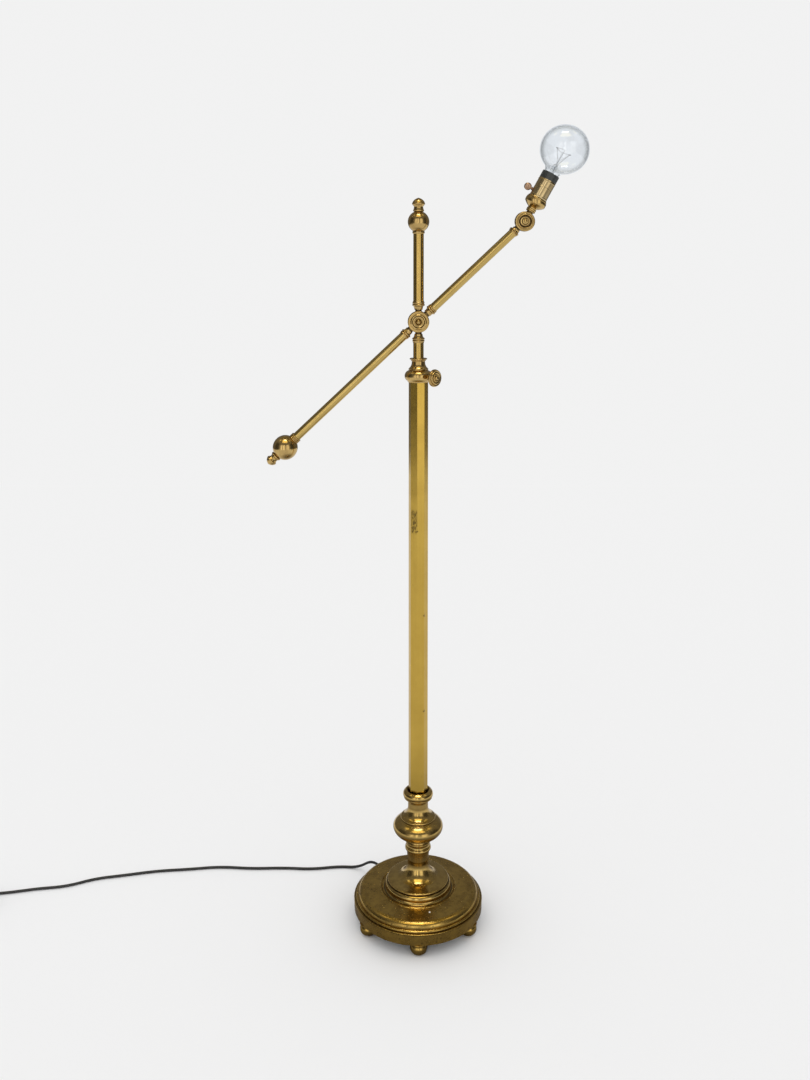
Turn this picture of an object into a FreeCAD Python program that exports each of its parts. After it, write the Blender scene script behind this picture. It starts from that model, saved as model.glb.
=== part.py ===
import FreeCAD, Part
import math
import os

from FreeCAD import Placement, Rotation, Vector

# Adjustable brass reading lamp that stands on the floor.  Millimetres, +Z up.
# The origin is the middle of the circle of ball feet, on the floor.  +X points to
# the lamp's side, and -Y is the front, where the caps of both knuckles show.

os.makedirs("parts", exist_ok=True)

# ---------------------------------------------------------------- clearances
RUNNING_FIT = 0.08       # radial, shaft turning or sliding in its bore
SLIDING_GAP = 0.15       # each side, flat faces that slide on each other
FACE_GAP = 0.10          # flat faces of two bodies that turn on each other
TIE_GAP = 0.25           # radial, pipes and screws that only pass through
CORD_GAP = 0.30          # radial, cord inside a bore that holds it

# ---------------------------------------------------------------- base
PLINTH_R = 120.0
FOOT_COUNT = 6
FOOT_INSET = 14.2        # from the plinth's wall in to the middle of each foot
FOOT_HEIGHT = 22.0
FOOT_BALL_R = 15.6
FOOT_FLAT_R = 4.0
FOOT_NECK_R = 12.8
FOOT_FLANGE_R = 16.2
FOOT_FLANGE_H = 2.8
FOOT_SCREW_R = 2.5
FOOT_SCREW_LENGTH = 26.0
FOOT_SCREW_IN_FOOT = 12.0

PLINTH_HEIGHT = 17.6
SHELL_WALL = 2.0
RIM_BEAD = 2.4           # height of the thin bead above the plinth
STEP_RING_H = 4.0        # height of the rounded step above that bead
SHOULDER_INSET = 7.4     # from the plinth's wall in to the shoulder's foot
SHOULDER_WIDTH = 12.6
SHOULDER_H = 11.6        # height of the rounded shoulder
TOP_RISE = 2.0           # rise of the plate from its shoulder to the inner bead
PLATE_BEAD_R = 70.4
SEAT_R = 66.5            # flat seat of the stepped foot of the stem

BOTTOM_PLATE_T = 2.0
WEIGHT_SIDE_GAP = 4.0
WEIGHT_RIM_H = 12.0
NUT_POCKET_R = 20.0
NUT_POCKET_H = 26.0

# ---------------------------------------------------------------- turned stem
PEDESTAL_FOOT_R = 64.5
PEDESTAL_TORUS_R = 61.6
DISC_R = 57.4
DISC_Z = 77.4
TRUMPET_FOOT_R = 38.0
STEM_NECK_R = 20.3
NECK_RING_Z = 132.0
NECK_RING_R = 24.2
BULB_Z = 177.0           # height of the widest line of the turned bulb
BULB_R = 46.6
BULB_UPPER_H = 22.0
BULB_LOWER_H = 25.0
BULB_LOWER_SEAT_R = 22.0
BULB_UPPER_SEAT_R = 31.4
CUP_NECK_R = 18.8
CUP_NECK_Z = 217.0
CUP_BEAD_R = 28.0
CUP_TOP_Z = 248.0
COLUMN_SEAT_Z = 238.0

TIE_PIPE_R = 5.0
TIE_PIPE_BORE_R = 3.0
TIE_NUT_FLATS = 22.0
TIE_NUT_H = 7.0

# ---------------------------------------------------------------- column
COLUMN_FLATS = 33.0      # across the flats of the eight-sided tube
COLUMN_WALL = 1.6
COLUMN_TURN = 37.5       # direction of one of its edges, degrees from +X
COLUMN_TOP_Z = 1020.0
COLUMN_PLUG_H = 20.0

COLLAR_LIP_R = 19.8
COLLAR_LIP_H = 4.0
COLLAR_BULGE_R = 25.2
COLLAR_BULGE_TOP_Z = 1037.0
COLLAR_FLARE_R = 17.9
COLLAR_NECK_R = 12.2
COLLAR_TOP_Z = 1059.6
COLLAR_FLANGE_R = 15.7
COLLAR_FLANGE_H = 2.4

# ---------------------------------------------------------------- mast
MAST_R = 9.5
MAST_WALL = 1.5
MAST_BOTTOM_Z = 602.0
MAST_TAIL = 10.0         # length of mast below the guide
GUIDE_H = 40.0
STOP_RING_H = 8.0
STOP_RING_R = 13.0
MAST_BALL_Z = 1307.0
MAST_BALL_R = 19.5
MAST_RING_R = 11.2
MAST_RING_H = 5.0
SEAT_FLAT_R = 7.0        # flat of both balls, where the finial meets them
FINIAL_FLARE_R = 10.2
FINIAL_NECK_R = 8.2
FINIAL_BUTTON_R = 12.0
FINIAL_TIP_Z = 1350.0

# ---------------------------------------------------------------- clamp screw
CLAMP_DIRECTION = -44.0  # degrees from +X, seen from above
CLAMP_Z = 1026.0
CLAMP_SCREW_R = 4.0
CLAMP_PAD_R = 3.6
CLAMP_PAD_L = 4.0
KNOB_R = 16.1
KNOB_START = 33.0        # distance of the knob's inner face from the lamp's axis
KNOB_LENGTH = 15.0
KNOB_HUB_R = 7.5

# ---------------------------------------------------------------- knuckles
PIVOT_Z = 1126.0
PIVOT_DISC_R = 19.6
PIVOT_HALF_T = 9.5
PIVOT_CAP_R = 14.8
ELBOW_DISC_R = 18.0
ELBOW_HALF_T = 8.0
ELBOW_CAP_R = 14.2
CAP_T = 5.0
WASHER_T = 0.6           # fibre washer between the two halves of a knuckle
STEM_R = 6.0
STEM_BORE_R = 2.8
STEM_SWEEP_GAP = 0.7     # between a stem's full round and the other half's disc
PIVOT_SCREW_R = 3.0
WIREWAY_INNER_R = 5.5
WIREWAY_OUTER_R = 10.5
WIREWAY_DEPTH = 5.0
KNUCKLE_NUT_FLATS = 11.0
KNUCKLE_NUT_H = 4.0
KNUCKLE_WASHER_R = 8.0
KNUCKLE_WASHER_T = 1.2

# A cup joins a stem to its tube.  Distances run out from the pivot.
CUP_START = 22.0
CUP_SOCKET = 30.5        # where the tube's end sits
CUP_END = 38.0
ELBOW_CUP_START = 20.0
ELBOW_CUP_SOCKET = 25.0
ELBOW_CUP_END = 30.5
CUP_START_R = 7.4
CUP_LIP = 2.2            # how far the widest bead stands out from the tube

# ---------------------------------------------------------------- arm
ARM_ANGLE = 43.4         # degrees above the horizontal
ARM_R = 8.0
ARM_WALL = 1.3
ELBOW_DISTANCE = 264.0
COUNTER_DISTANCE = 336.0
COUNTER_BALL_R = 22.8
COUNTER_TIP = 380.0
COUNTER_FLARE_R = 10.2
COUNTER_NECK_R = 7.2
COUNTER_BUTTON_R = 10.4
FERRULE_L = 8.4
FERRULE_R = 10.2
RING_BEAD = 0.9          # how far the beads of ring and ferrule bulge

# ---------------------------------------------------------------- lamp head
HEAD_ANGLE = 61.2        # degrees above the horizontal
HEAD_CAP_START = 19.8
HEAD_CAP_NECK_R = 8.0
HEAD_CAP_R = 19.6
HEAD_BAND_START = 35.0   # the cap's broad band
HEAD_BAND_END = 44.4
HEAD_CAP_END = 48.3
CAP_WALL = 1.2
SHELL_R = 16.2
SHELL_THICKNESS = 0.8
SLEEVE_START = 83.8
SLEEVE_END = 97.2
SLEEVE_MOUTH_GAP = 1.0   # radial, between the black sleeve and the bulb's neck
CORE_START = 44.0
CORE_END = 61.0
SCREW_SHELL_R = 13.3     # outside
SCREW_SHELL_T = 0.4
SCREW_SHELL_END = 92.0
FLOOR_HOLE_R = 7.0       # hole in the screw shell's floor, round the contact
CONTACT_R = 3.0
CONTACT_H = 2.0

KEY_AT = 57.8            # from the elbow, along the head's axis
KEY_SHAFT_R = 2.4
KEY_SHAFT_START = 9.0
KEY_CENTRE = 25.9
KEY_PADDLE_R = 6.9
KEY_PADDLE_T = 4.0

GLOBE_R = 45.0
GLOBE_AT = 147.0
GLASS_WALL = 0.9
GLOBE_NECK_R = 13.4
BULB_CAP_END = 93.0
BULB_TIP_L = 3.5
GLASS_STEM_R = 5.0
GLASS_STEM_TOP = 124.0
FILAMENT_R = 15.0
FILAMENT_WIRE_R = 0.4
FILAMENT_AT = 143.0

# ---------------------------------------------------------------- cord
CORD_D = 5.0
BUSHING_DIRECTION = 125.0
BUSHING_Z = 31.0
BUSHING_HOLE_R = 5.0
BUSHING_FLANGE_R = 6.4
BUSHING_FLANGE_T = 2.0
BUSHING_NOSE_L = 14.0    # tapered strain relief outside the flange
CHANNEL_WIDTH = 8.0
CHANNEL_HEIGHT = 12.0
INNER_BEND_R = 9.0
FLOOR_CLEARANCE = 0.1

COIL_LAYERS = 4
COIL_TURNS_PER_LAYER = 2.3125
COIL_PITCH = 5.75        # step between turns, sideways and upwards
COIL_OUTER_R = 33.8      # middle of the outermost turn
COIL_X = -862.0
COIL_Y = 28.0
PLUG_WIDTH = 25.0
PLUG_THICKNESS = 15.0
PLUG_LENGTH = 24.0
PLUG_RELIEF_L = 22.0
PLUG_RELIEF_R = 5.4
BLADE_SPACING = 12.7
BLADE_WIDTH = 6.3
BLADE_T = 1.5
BLADE_L = 16.0

UP = Vector(0, 0, 1)
CORD_R = CORD_D / 2
CORD_FLOOR_Z = CORD_R + FLOOR_CLEARANCE
PLINTH_TOP_Z = FOOT_HEIGHT + PLINTH_HEIGHT
INNER_R = PLINTH_R - SHELL_WALL
FOOT_CIRCLE_R = PLINTH_R - FOOT_INSET
SHOULDER_R = PLINTH_R - SHOULDER_INSET
SHOULDER_INNER_R = SHOULDER_R - SHOULDER_WIDTH
BEAD_TOP_Z = PLINTH_TOP_Z + RIM_BEAD
SHELF_Z = BEAD_TOP_Z + STEP_RING_H
SHOULDER_TOP_Z = SHELF_Z + SHOULDER_H
PLATE_TOP_Z = SHOULDER_TOP_Z + TOP_RISE
SEAT_Z = PLATE_TOP_Z - 1.2
WEIGHT_TOP_Z = SEAT_Z - SHELL_WALL
TIE_HOLE_R = TIE_PIPE_R + TIE_GAP
MAST_BORE_R = MAST_R + RUNNING_FIT
GUIDE_Z = MAST_BOTTOM_Z + MAST_TAIL


# ---------------------------------------------------------------- outline tools
def at(r, z):
    return Vector(r, 0, z)


class Outline:
    """A closed outline of radii and heights that is turned about the Z axis."""

    def __init__(self, r, z):
        self.first = at(r, z)
        self.last = self.first
        self.edges = []

    def line(self, r, z):
        self.edges.append(Part.LineSegment(self.last, at(r, z)).toShape())
        self.last = at(r, z)
        return self

    def arc(self, mid_r, mid_z, r, z):
        edge = Part.Arc(self.last, at(mid_r, mid_z), at(r, z)).toShape()
        self.edges.append(edge)
        self.last = at(r, z)
        return self

    def bulge(self, r, z, height):
        """Arc to (r, z) whose middle stands out by height, to the right of the way."""
        end = at(r, z)
        middle = (self.last + end) * 0.5
        way = (end - self.last).normalize()
        side = Vector(way.z, 0, -way.x)
        crown = middle + side * height
        return self.arc(crown.x, crown.z, r, z)

    def ellipse(self, centre_z, wide, high, to_r):
        """Along an ellipse about (0, centre_z), from the last point to a radius."""
        whole = Part.Ellipse(at(wide, centre_z), at(0, centre_z + high), at(0, centre_z))
        here = math.acos(min(1.0, self.last.x / wide))
        there = math.acos(min(1.0, to_r / wide))
        part = Part.ArcOfEllipse(whole, min(here, there), max(here, there))
        self.edges.append(part.toShape())
        self.last = at(to_r, centre_z + high * math.sin(there))
        return self

    def dome(self, z):
        """Round cap to the axis at height z, part of a ball about the axis."""
        rise = z - self.last.z
        ball_r = (self.last.x ** 2 + rise ** 2) / (2 * abs(rise))
        half = math.asin(self.last.x / ball_r) / 2
        centre_z = z - math.copysign(ball_r, rise)
        mid_z = centre_z + math.copysign(ball_r * math.cos(half), rise)
        return self.arc(ball_r * math.sin(half), mid_z, 0, z)

    def turned(self):
        if (self.last - self.first).Length > 1e-7:
            self.line(self.first.x, self.first.z)
        face = Part.Face(Part.Wire(self.edges))
        return face.revolve(Vector(0, 0, 0), UP, 360)


def rod(radius, start, end):
    return Part.makeCylinder(radius, end - start, Vector(0, 0, start))


def ring(outer, inner, start, end):
    return rod(outer, start, end).cut(rod(inner, start, end))


def prism(flats, sides, start, end, turn=0.0):
    """Upright prism with the given width across its flats."""
    corner_r = flats / 2 / math.cos(math.pi / sides)
    corners = []
    for corner in range(sides + 1):
        angle = math.radians(turn) + 2 * math.pi * (corner % sides) / sides
        corners.append(Vector(corner_r * math.cos(angle), corner_r * math.sin(angle), start))
    return Part.Face(Part.makePolygon(corners)).extrude(Vector(0, 0, end - start))


def moved(shape, rotation, place):
    copy = shape.copy()
    copy.Placement = Placement(place, rotation).multiply(copy.Placement)
    return copy


def around(shape, count, start=0.0):
    """The given number of copies of a shape, evenly round the Z axis."""
    copies = []
    for index in range(count):
        turn = Rotation(UP, start + 360.0 * index / count)
        copies.append(moved(shape, turn, Vector(0, 0, 0)))
    return Part.makeCompound(copies)


def save(name, shape):
    for solid in shape.Solids:
        if not solid.isValid():
            print("NOT VALID", name)
    if len(shape.Solids) == 1:
        shape = shape.Solids[0]
    shape.exportStep("parts/" + name + ".step")
    print("%-24s solids %2d  volume %9.0f" % (name, len(shape.Solids), shape.Volume))


# ---------------------------------------------------------------- path tools
def arc_edge(start, corner, end):
    """Arc from start to end, tangent to the lines to the corner between them."""
    middle = (start + end) * 0.5
    half_chord = (end - start).Length / 2
    height = (corner - middle).Length
    sagitta = half_chord * math.tan(math.atan2(height, half_chord) / 2)
    crown = middle + (corner - middle) * (sagitta / height)
    return Part.Arc(start, crown, end).toShape()


def biarc_edges(start, start_way, end, end_way):
    """Two arcs that join two points and leave and meet them along the given ways."""
    chord = end - start
    ways = start_way + end_way
    spread = 2 * (1 - start_way.dot(end_way))
    root = math.sqrt(chord.dot(ways) ** 2 + spread * chord.dot(chord))
    reach = (root - chord.dot(ways)) / spread
    first_corner = start + start_way * reach
    second_corner = end - end_way * reach
    joint = (first_corner + second_corner) * 0.5
    return [arc_edge(start, first_corner, joint), arc_edge(joint, second_corner, end)]


def rounded_route(points, label):
    """Straight runs joined by tangent arcs as large as the runs beside them allow."""
    edges = []
    here = points[0]
    radii = []
    for before, corner, after in zip(points, points[1:], points[2:]):
        way_in = (corner - before).normalize()
        way_out = (after - corner).normalize()
        turn = way_in.getAngle(way_out)
        cut = 0.45 * min((corner - before).Length, (after - corner).Length)
        radii.append(cut / math.tan(turn / 2))
        start = corner - way_in * cut
        end = corner + way_out * cut
        edges.append(Part.LineSegment(here, start).toShape())
        edges.append(arc_edge(start, corner, end))
        here = end
    edges.append(Part.LineSegment(here, points[-1]).toShape())
    print(label, "bend radii:", " ".join("%.0f" % radius for radius in radii))
    return edges


def tube_along(edges, radius, label):
    """Solid round tube along a path, with its volume held against its length."""
    path = Part.Wire(edges)
    first = edges[0]
    way = first.tangentAt(first.FirstParameter)
    start = first.valueAt(first.FirstParameter)
    section = Part.Wire([Part.Circle(start, way, radius).toShape()])
    solid = path.makePipeShell([section], True, False)
    wanted = math.pi * radius * radius * path.Length
    print("%s length %.1f, volume over section times length %.4f"
          % (label, path.Length, solid.Volume / wanted))
    return solid


# ---------------------------------------------------------------- places
def radial(direction, radius, z):
    """Point at a radius from the lamp's axis, in a direction seen from above."""
    angle = math.radians(direction)
    return Vector(radius * math.cos(angle), radius * math.sin(angle), z)


def pointing(direction):
    """Turns a piece made along +Z so that it points outward, level."""
    return Rotation(UP, radial(direction, 1, 0))


def on_mast(shape):
    """From the knuckle's own frame, with the pivot at the origin, to the mast."""
    return moved(shape, Rotation(), Vector(0, 0, PIVOT_Z))


def on_arm(shape):
    """From a frame with +Z along the lamp arm and the pivot at the origin."""
    turn = Rotation(Vector(0, 1, 0), 90 - ARM_ANGLE)
    return moved(shape, turn, Vector(0, 0, PIVOT_Z))


ARM_WAY = Vector(math.cos(math.radians(ARM_ANGLE)), 0, math.sin(math.radians(ARM_ANGLE)))
ELBOW = Vector(0, 0, PIVOT_Z) + ARM_WAY * ELBOW_DISTANCE


def on_head(shape):
    """From a frame with +Z along the lamp head and the elbow at the origin."""
    turn = Rotation(Vector(0, 1, 0), 90 - HEAD_ANGLE)
    return moved(shape, turn, ELBOW)


# ---------------------------------------------------------------- base
def base_shell():
    """Spun brass cover: plinth, beads, rounded shoulder and a flat seat on top."""
    outline = Outline(INNER_R, FOOT_HEIGHT)
    outline.line(PLINTH_R, FOOT_HEIGHT)
    outline.line(PLINTH_R, PLINTH_TOP_Z)
    outline.line(PLINTH_R - 0.6, PLINTH_TOP_Z)
    outline.bulge(PLINTH_R - 0.6, BEAD_TOP_Z, 1.1)
    outline.line(SHOULDER_R + 3.8, BEAD_TOP_Z)
    outline.bulge(SHOULDER_R + 2.4, SHELF_Z, 0.9)
    outline.line(SHOULDER_R, SHELF_Z)
    outline.bulge(SHOULDER_INNER_R, SHOULDER_TOP_Z, 4.2)
    outline.line(PLATE_BEAD_R + 1.8, PLATE_TOP_Z)
    outline.bulge(PLATE_BEAD_R - 1.8, PLATE_TOP_Z, 1.5)
    outline.line(SEAT_R, SEAT_Z)
    outline.line(TIE_HOLE_R, SEAT_Z)
    outline.line(TIE_HOLE_R, WEIGHT_TOP_Z)
    outline.line(PLATE_BEAD_R, WEIGHT_TOP_Z)
    outline.line(SHOULDER_INNER_R - 2.0, SHOULDER_TOP_Z - SHELL_WALL)
    outline.line(SHOULDER_R - SHELL_WALL, SHELF_Z)
    outline.line(INNER_R, PLINTH_TOP_Z - 1.0)
    shell = outline.turned()
    hole = moved(rod(BUSHING_HOLE_R, INNER_R - 5, PLINTH_R + 5),
                 pointing(BUSHING_DIRECTION), Vector(0, 0, BUSHING_Z))
    return shell.cut(hole)


def base_weight():
    """Cast iron disc that fills the shell and carries the stem on its hub."""
    bottom = FOOT_HEIGHT + BOTTOM_PLATE_T
    edge = INNER_R - WEIGHT_SIDE_GAP
    outline = Outline(NUT_POCKET_R, bottom)
    outline.line(edge, bottom)
    outline.line(edge, bottom + WEIGHT_RIM_H)
    outline.line(SHOULDER_INNER_R, SHELF_Z)
    outline.line(SEAT_R + 3, WEIGHT_TOP_Z - 5)
    outline.line(SEAT_R - 3, WEIGHT_TOP_Z)
    outline.line(TIE_HOLE_R, WEIGHT_TOP_Z)
    outline.line(TIE_HOLE_R, bottom + NUT_POCKET_H)
    outline.line(NUT_POCKET_R, bottom + NUT_POCKET_H)
    weight = outline.turned()
    channel = Part.makeBox(PLINTH_R, CHANNEL_WIDTH, CHANNEL_HEIGHT,
                           Vector(0, -CHANNEL_WIDTH / 2, bottom))
    weight = weight.cut(moved(channel, Rotation(UP, BUSHING_DIRECTION), Vector(0, 0, 0)))
    return weight.cut(foot_places(rod(FOOT_SCREW_R, bottom, screw_top() + 1)))


def foot_places(shape):
    """A piece made over the origin, at each foot."""
    out = moved(shape, Rotation(), Vector(0, -FOOT_CIRCLE_R, 0))
    return around(out, FOOT_COUNT)


def screw_top():
    return FOOT_SCREW_IN_FOOT + FOOT_SCREW_LENGTH


def bottom_plate():
    top = FOOT_HEIGHT + BOTTOM_PLATE_T
    plate = rod(INNER_R - RUNNING_FIT, FOOT_HEIGHT, top)
    return plate.cut(foot_places(rod(FOOT_SCREW_R, FOOT_HEIGHT, top)))


def ball_feet():
    flange = FOOT_HEIGHT - FOOT_FLANGE_H
    outline = Outline(0, 0)
    outline.line(FOOT_FLAT_R, 0)
    outline.arc(FOOT_BALL_R, flange * 0.48, FOOT_NECK_R, flange - 1.0)
    outline.line(FOOT_FLANGE_R - 1.2, flange)
    outline.bulge(FOOT_FLANGE_R - 0.4, FOOT_HEIGHT, 0.6)
    outline.line(FOOT_SCREW_R, FOOT_HEIGHT)
    outline.line(FOOT_SCREW_R, FOOT_SCREW_IN_FOOT)
    outline.line(0, FOOT_SCREW_IN_FOOT)
    return foot_places(outline.turned())


def foot_screws():
    return foot_places(rod(FOOT_SCREW_R, FOOT_SCREW_IN_FOOT, screw_top()))


# ---------------------------------------------------------------- turned stem
def stem_pedestal():
    """Stepped foot of the stem: cove, thick torus, dished disc and trumpet."""
    torus_top = DISC_Z - 4.6
    outline = Outline(TIE_HOLE_R, SEAT_Z)
    outline.line(PEDESTAL_FOOT_R, SEAT_Z)
    outline.bulge(PEDESTAL_TORUS_R - 1.2, SEAT_Z + 4.2, -1.0)
    outline.arc(PEDESTAL_TORUS_R, (SEAT_Z + 4.2 + torus_top) / 2, PEDESTAL_TORUS_R - 3.2, torus_top)
    outline.line(DISC_R - 1.4, torus_top + 0.6)
    outline.bulge(DISC_R - 1.8, DISC_Z, 1.5)
    outline.line(TRUMPET_FOOT_R, DISC_Z + 2.6)
    outline.arc(STEM_NECK_R + 4.4, DISC_Z + 13.0, STEM_NECK_R, NECK_RING_Z - 17)
    outline.bulge(STEM_NECK_R + 1.2, NECK_RING_Z, -0.3)
    outline.line(TIE_HOLE_R, NECK_RING_Z)
    return outline.turned()


def bulb_lower_seat_z():
    share = BULB_LOWER_SEAT_R / BULB_R
    return BULB_Z - BULB_LOWER_H * math.sqrt(1 - share * share)


def bulb_upper_seat_z():
    share = BULB_UPPER_SEAT_R / BULB_R
    return BULB_Z + BULB_UPPER_H * math.sqrt(1 - share * share)


def neck_ring():
    """Bead, cove and lip between the trumpet and the turned bulb."""
    top = bulb_lower_seat_z()
    height = top - NECK_RING_Z
    outline = Outline(TIE_HOLE_R, NECK_RING_Z)
    outline.line(NECK_RING_R - 1.3, NECK_RING_Z)
    outline.bulge(NECK_RING_R - 0.9, NECK_RING_Z + height * 0.28, 1.1)
    outline.line(NECK_RING_R - 2.0, NECK_RING_Z + height * 0.31)
    outline.bulge(NECK_RING_R - 1.5, NECK_RING_Z + height * 0.62, -1.4)
    outline.bulge(NECK_RING_R - 1.7, NECK_RING_Z + height * 0.74, 0.7)
    outline.bulge(BULB_LOWER_SEAT_R - 0.8, top, -0.9)
    outline.line(TIE_HOLE_R, top)
    return outline.turned()


def stem_bulb():
    """Wide turned bulb, hollow round the tie pipe."""
    low = bulb_lower_seat_z()
    high = bulb_upper_seat_z()
    outline = Outline(TIE_HOLE_R, low)
    outline.line(BULB_LOWER_SEAT_R, low)
    outline.ellipse(BULB_Z, BULB_R, -BULB_LOWER_H, BULB_R)
    outline.ellipse(BULB_Z, BULB_R, BULB_UPPER_H, BULB_UPPER_SEAT_R)
    outline.line(TIE_HOLE_R, high)
    return outline.turned()


def column_cup():
    """Waisted neck above the bulb, ending in a thick-rimmed cup for the column."""
    low = bulb_upper_seat_z()
    ridge = CUP_TOP_Z - 13.6
    outline = Outline(TIE_HOLE_R, low)
    outline.line(BULB_UPPER_SEAT_R + 0.4, low)
    outline.bulge(BULB_UPPER_SEAT_R - 0.6, low + 3.6, 1.2)
    outline.arc(CUP_NECK_R + 3.2, low + 11.0, CUP_NECK_R, CUP_NECK_Z)
    outline.line(CUP_NECK_R, CUP_NECK_Z + 7.0)
    outline.bulge(CUP_BEAD_R - 2.6, ridge - 2.4, -1.6)
    outline.bulge(CUP_BEAD_R - 1.8, ridge, 0.7)
    outline.arc(CUP_BEAD_R, ridge + 5.4, CUP_BEAD_R - 3.8, CUP_TOP_Z - 2.0)
    outline.bulge(column_corner_r() + 2.6, CUP_TOP_Z - 1.0, 0.8)
    outline.line(column_corner_r() + 1.6, COLUMN_SEAT_Z)
    outline.line(TIE_HOLE_R, COLUMN_SEAT_Z)
    return outline.turned()


def tie_pipe():
    bottom = tie_nut_z() - 1.5
    return ring(TIE_PIPE_R, TIE_PIPE_BORE_R, bottom, COLUMN_SEAT_Z + COLUMN_PLUG_H - 4)


def tie_nut_z():
    return FOOT_HEIGHT + BOTTOM_PLATE_T + NUT_POCKET_H - TIE_NUT_H


def tie_nut():
    """Six-sided nut in the pocket of the weight, which draws the stem down."""
    top = tie_nut_z() + TIE_NUT_H
    nut = prism(TIE_NUT_FLATS, 6, tie_nut_z(), top)
    return nut.cut(rod(TIE_PIPE_R, tie_nut_z(), top))


# ---------------------------------------------------------------- column
def column_corner_r():
    return COLUMN_FLATS / 2 / math.cos(math.pi / 8)


def column():
    inner = COLUMN_FLATS - 2 * COLUMN_WALL
    tube = prism(COLUMN_FLATS, 8, COLUMN_SEAT_Z, COLUMN_TOP_Z, COLUMN_TURN)
    return tube.cut(prism(inner, 8, COLUMN_SEAT_Z, COLUMN_TOP_Z, COLUMN_TURN))


def column_plug():
    """Eight-sided plug in the column's foot, screwed on to the tie pipe."""
    top = COLUMN_SEAT_Z + COLUMN_PLUG_H
    flats = COLUMN_FLATS - 2 * COLUMN_WALL
    plug = prism(flats, 8, COLUMN_SEAT_Z, top, COLUMN_TURN)
    return plug.cut(rod(TIE_PIPE_R, COLUMN_SEAT_Z, top))


def column_collar():
    """Turned head of the column, bored for the mast and drilled for the screw."""
    lip_z = COLUMN_TOP_Z - COLLAR_LIP_H
    bulge_z = COLLAR_BULGE_TOP_Z
    outline = Outline(MAST_BORE_R, lip_z)
    outline.line(COLLAR_LIP_R - 0.6, lip_z)
    outline.line(COLLAR_LIP_R, lip_z + 1.8)
    outline.arc(COLLAR_BULGE_R, (lip_z + bulge_z) / 2 + 1, COLLAR_LIP_R - 0.8, bulge_z)
    outline.line(COLLAR_FLARE_R - 1.2, bulge_z + 0.8)
    outline.bulge(COLLAR_FLARE_R - 0.4, bulge_z + 4.0, 0.9)
    outline.arc(COLLAR_NECK_R + 1.6, bulge_z + 8.6, COLLAR_NECK_R, COLLAR_TOP_Z - 7.0)
    outline.line(COLLAR_NECK_R, COLLAR_TOP_Z - 5.4)
    outline.bulge(COLLAR_NECK_R + 0.8, COLLAR_TOP_Z - COLLAR_FLANGE_H, 0.9)
    outline.line(COLLAR_FLANGE_R - 0.6, COLLAR_TOP_Z - COLLAR_FLANGE_H)
    outline.bulge(COLLAR_FLANGE_R - 0.6, COLLAR_TOP_Z, 0.9)
    outline.line(MAST_BORE_R, COLLAR_TOP_Z)
    collar = outline.turned()
    socket = prism(COLUMN_FLATS, 8, lip_z, COLUMN_TOP_Z, COLUMN_TURN)
    hole = moved(rod(CLAMP_SCREW_R + RUNNING_FIT, 0, COLLAR_BULGE_R + 2),
                 pointing(CLAMP_DIRECTION), Vector(0, 0, CLAMP_Z))
    return collar.cut(socket).cut(hole)


# ---------------------------------------------------------------- clamp
def clamp_pad():
    """Brass slug that the screw presses on the mast, hollowed to the mast."""
    slug = moved(rod(CLAMP_PAD_R, 0, MAST_R + CLAMP_PAD_L),
                 pointing(CLAMP_DIRECTION), Vector(0, 0, CLAMP_Z))
    return slug.cut(rod(MAST_BORE_R, CLAMP_Z - 10, CLAMP_Z + 10))


def thumb_screw():
    """Clamp screw turned in one piece with its stepped round knob."""
    outline = Outline(0, MAST_R + CLAMP_PAD_L + FACE_GAP)
    outline.line(CLAMP_SCREW_R, MAST_R + CLAMP_PAD_L + FACE_GAP)
    outline.line(CLAMP_SCREW_R, KNOB_START)
    outline.line(KNOB_HUB_R, KNOB_START)
    outline.line(KNOB_HUB_R, KNOB_START + 2.5)
    outline.line(KNOB_R - 3, KNOB_START + 4)
    outline.bulge(KNOB_R - 0.8, KNOB_START + 8.5, 1.0)
    outline.bulge(KNOB_R - 2.6, KNOB_START + 10.5, 0.6)
    outline.line(KNOB_R - 4.4, KNOB_START + 10)
    outline.bulge(KNOB_R - 8.0, KNOB_START + 11.6, 0.8)
    outline.line(KNOB_R - 8.6, KNOB_START + 11.0)
    outline.line(KNOB_R - 11.4, KNOB_START + 11.6)
    outline.dome(KNOB_START + KNOB_LENGTH)
    return moved(outline.turned(), pointing(CLAMP_DIRECTION), Vector(0, 0, CLAMP_Z))


# ---------------------------------------------------------------- guide and mast
def slide_guide():
    """Eight-sided bush that slides in the column and lets the mast turn in it."""
    flats = COLUMN_FLATS - 2 * COLUMN_WALL - 2 * SLIDING_GAP
    block = prism(flats, 8, GUIDE_Z, GUIDE_Z + GUIDE_H, COLUMN_TURN)
    return block.cut(rod(MAST_BORE_R, GUIDE_Z, GUIDE_Z + GUIDE_H))


def guide_stops():
    """Rings fixed on the mast below and above the guide."""
    low = GUIDE_Z - FACE_GAP - STOP_RING_H
    high = GUIDE_Z + GUIDE_H + FACE_GAP
    lower = ring(STOP_RING_R, MAST_R, low, low + STOP_RING_H)
    upper = ring(STOP_RING_R, MAST_R, high, high + STOP_RING_H)
    return Part.makeCompound([lower, upper])


def mast_tube():
    return ring(MAST_R, MAST_R - MAST_WALL, MAST_BOTTOM_Z, PIVOT_Z - CUP_SOCKET)


def upper_mast_tube():
    return ring(MAST_R, MAST_R - MAST_WALL, PIVOT_Z + CUP_SOCKET, upper_tube_end())


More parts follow.
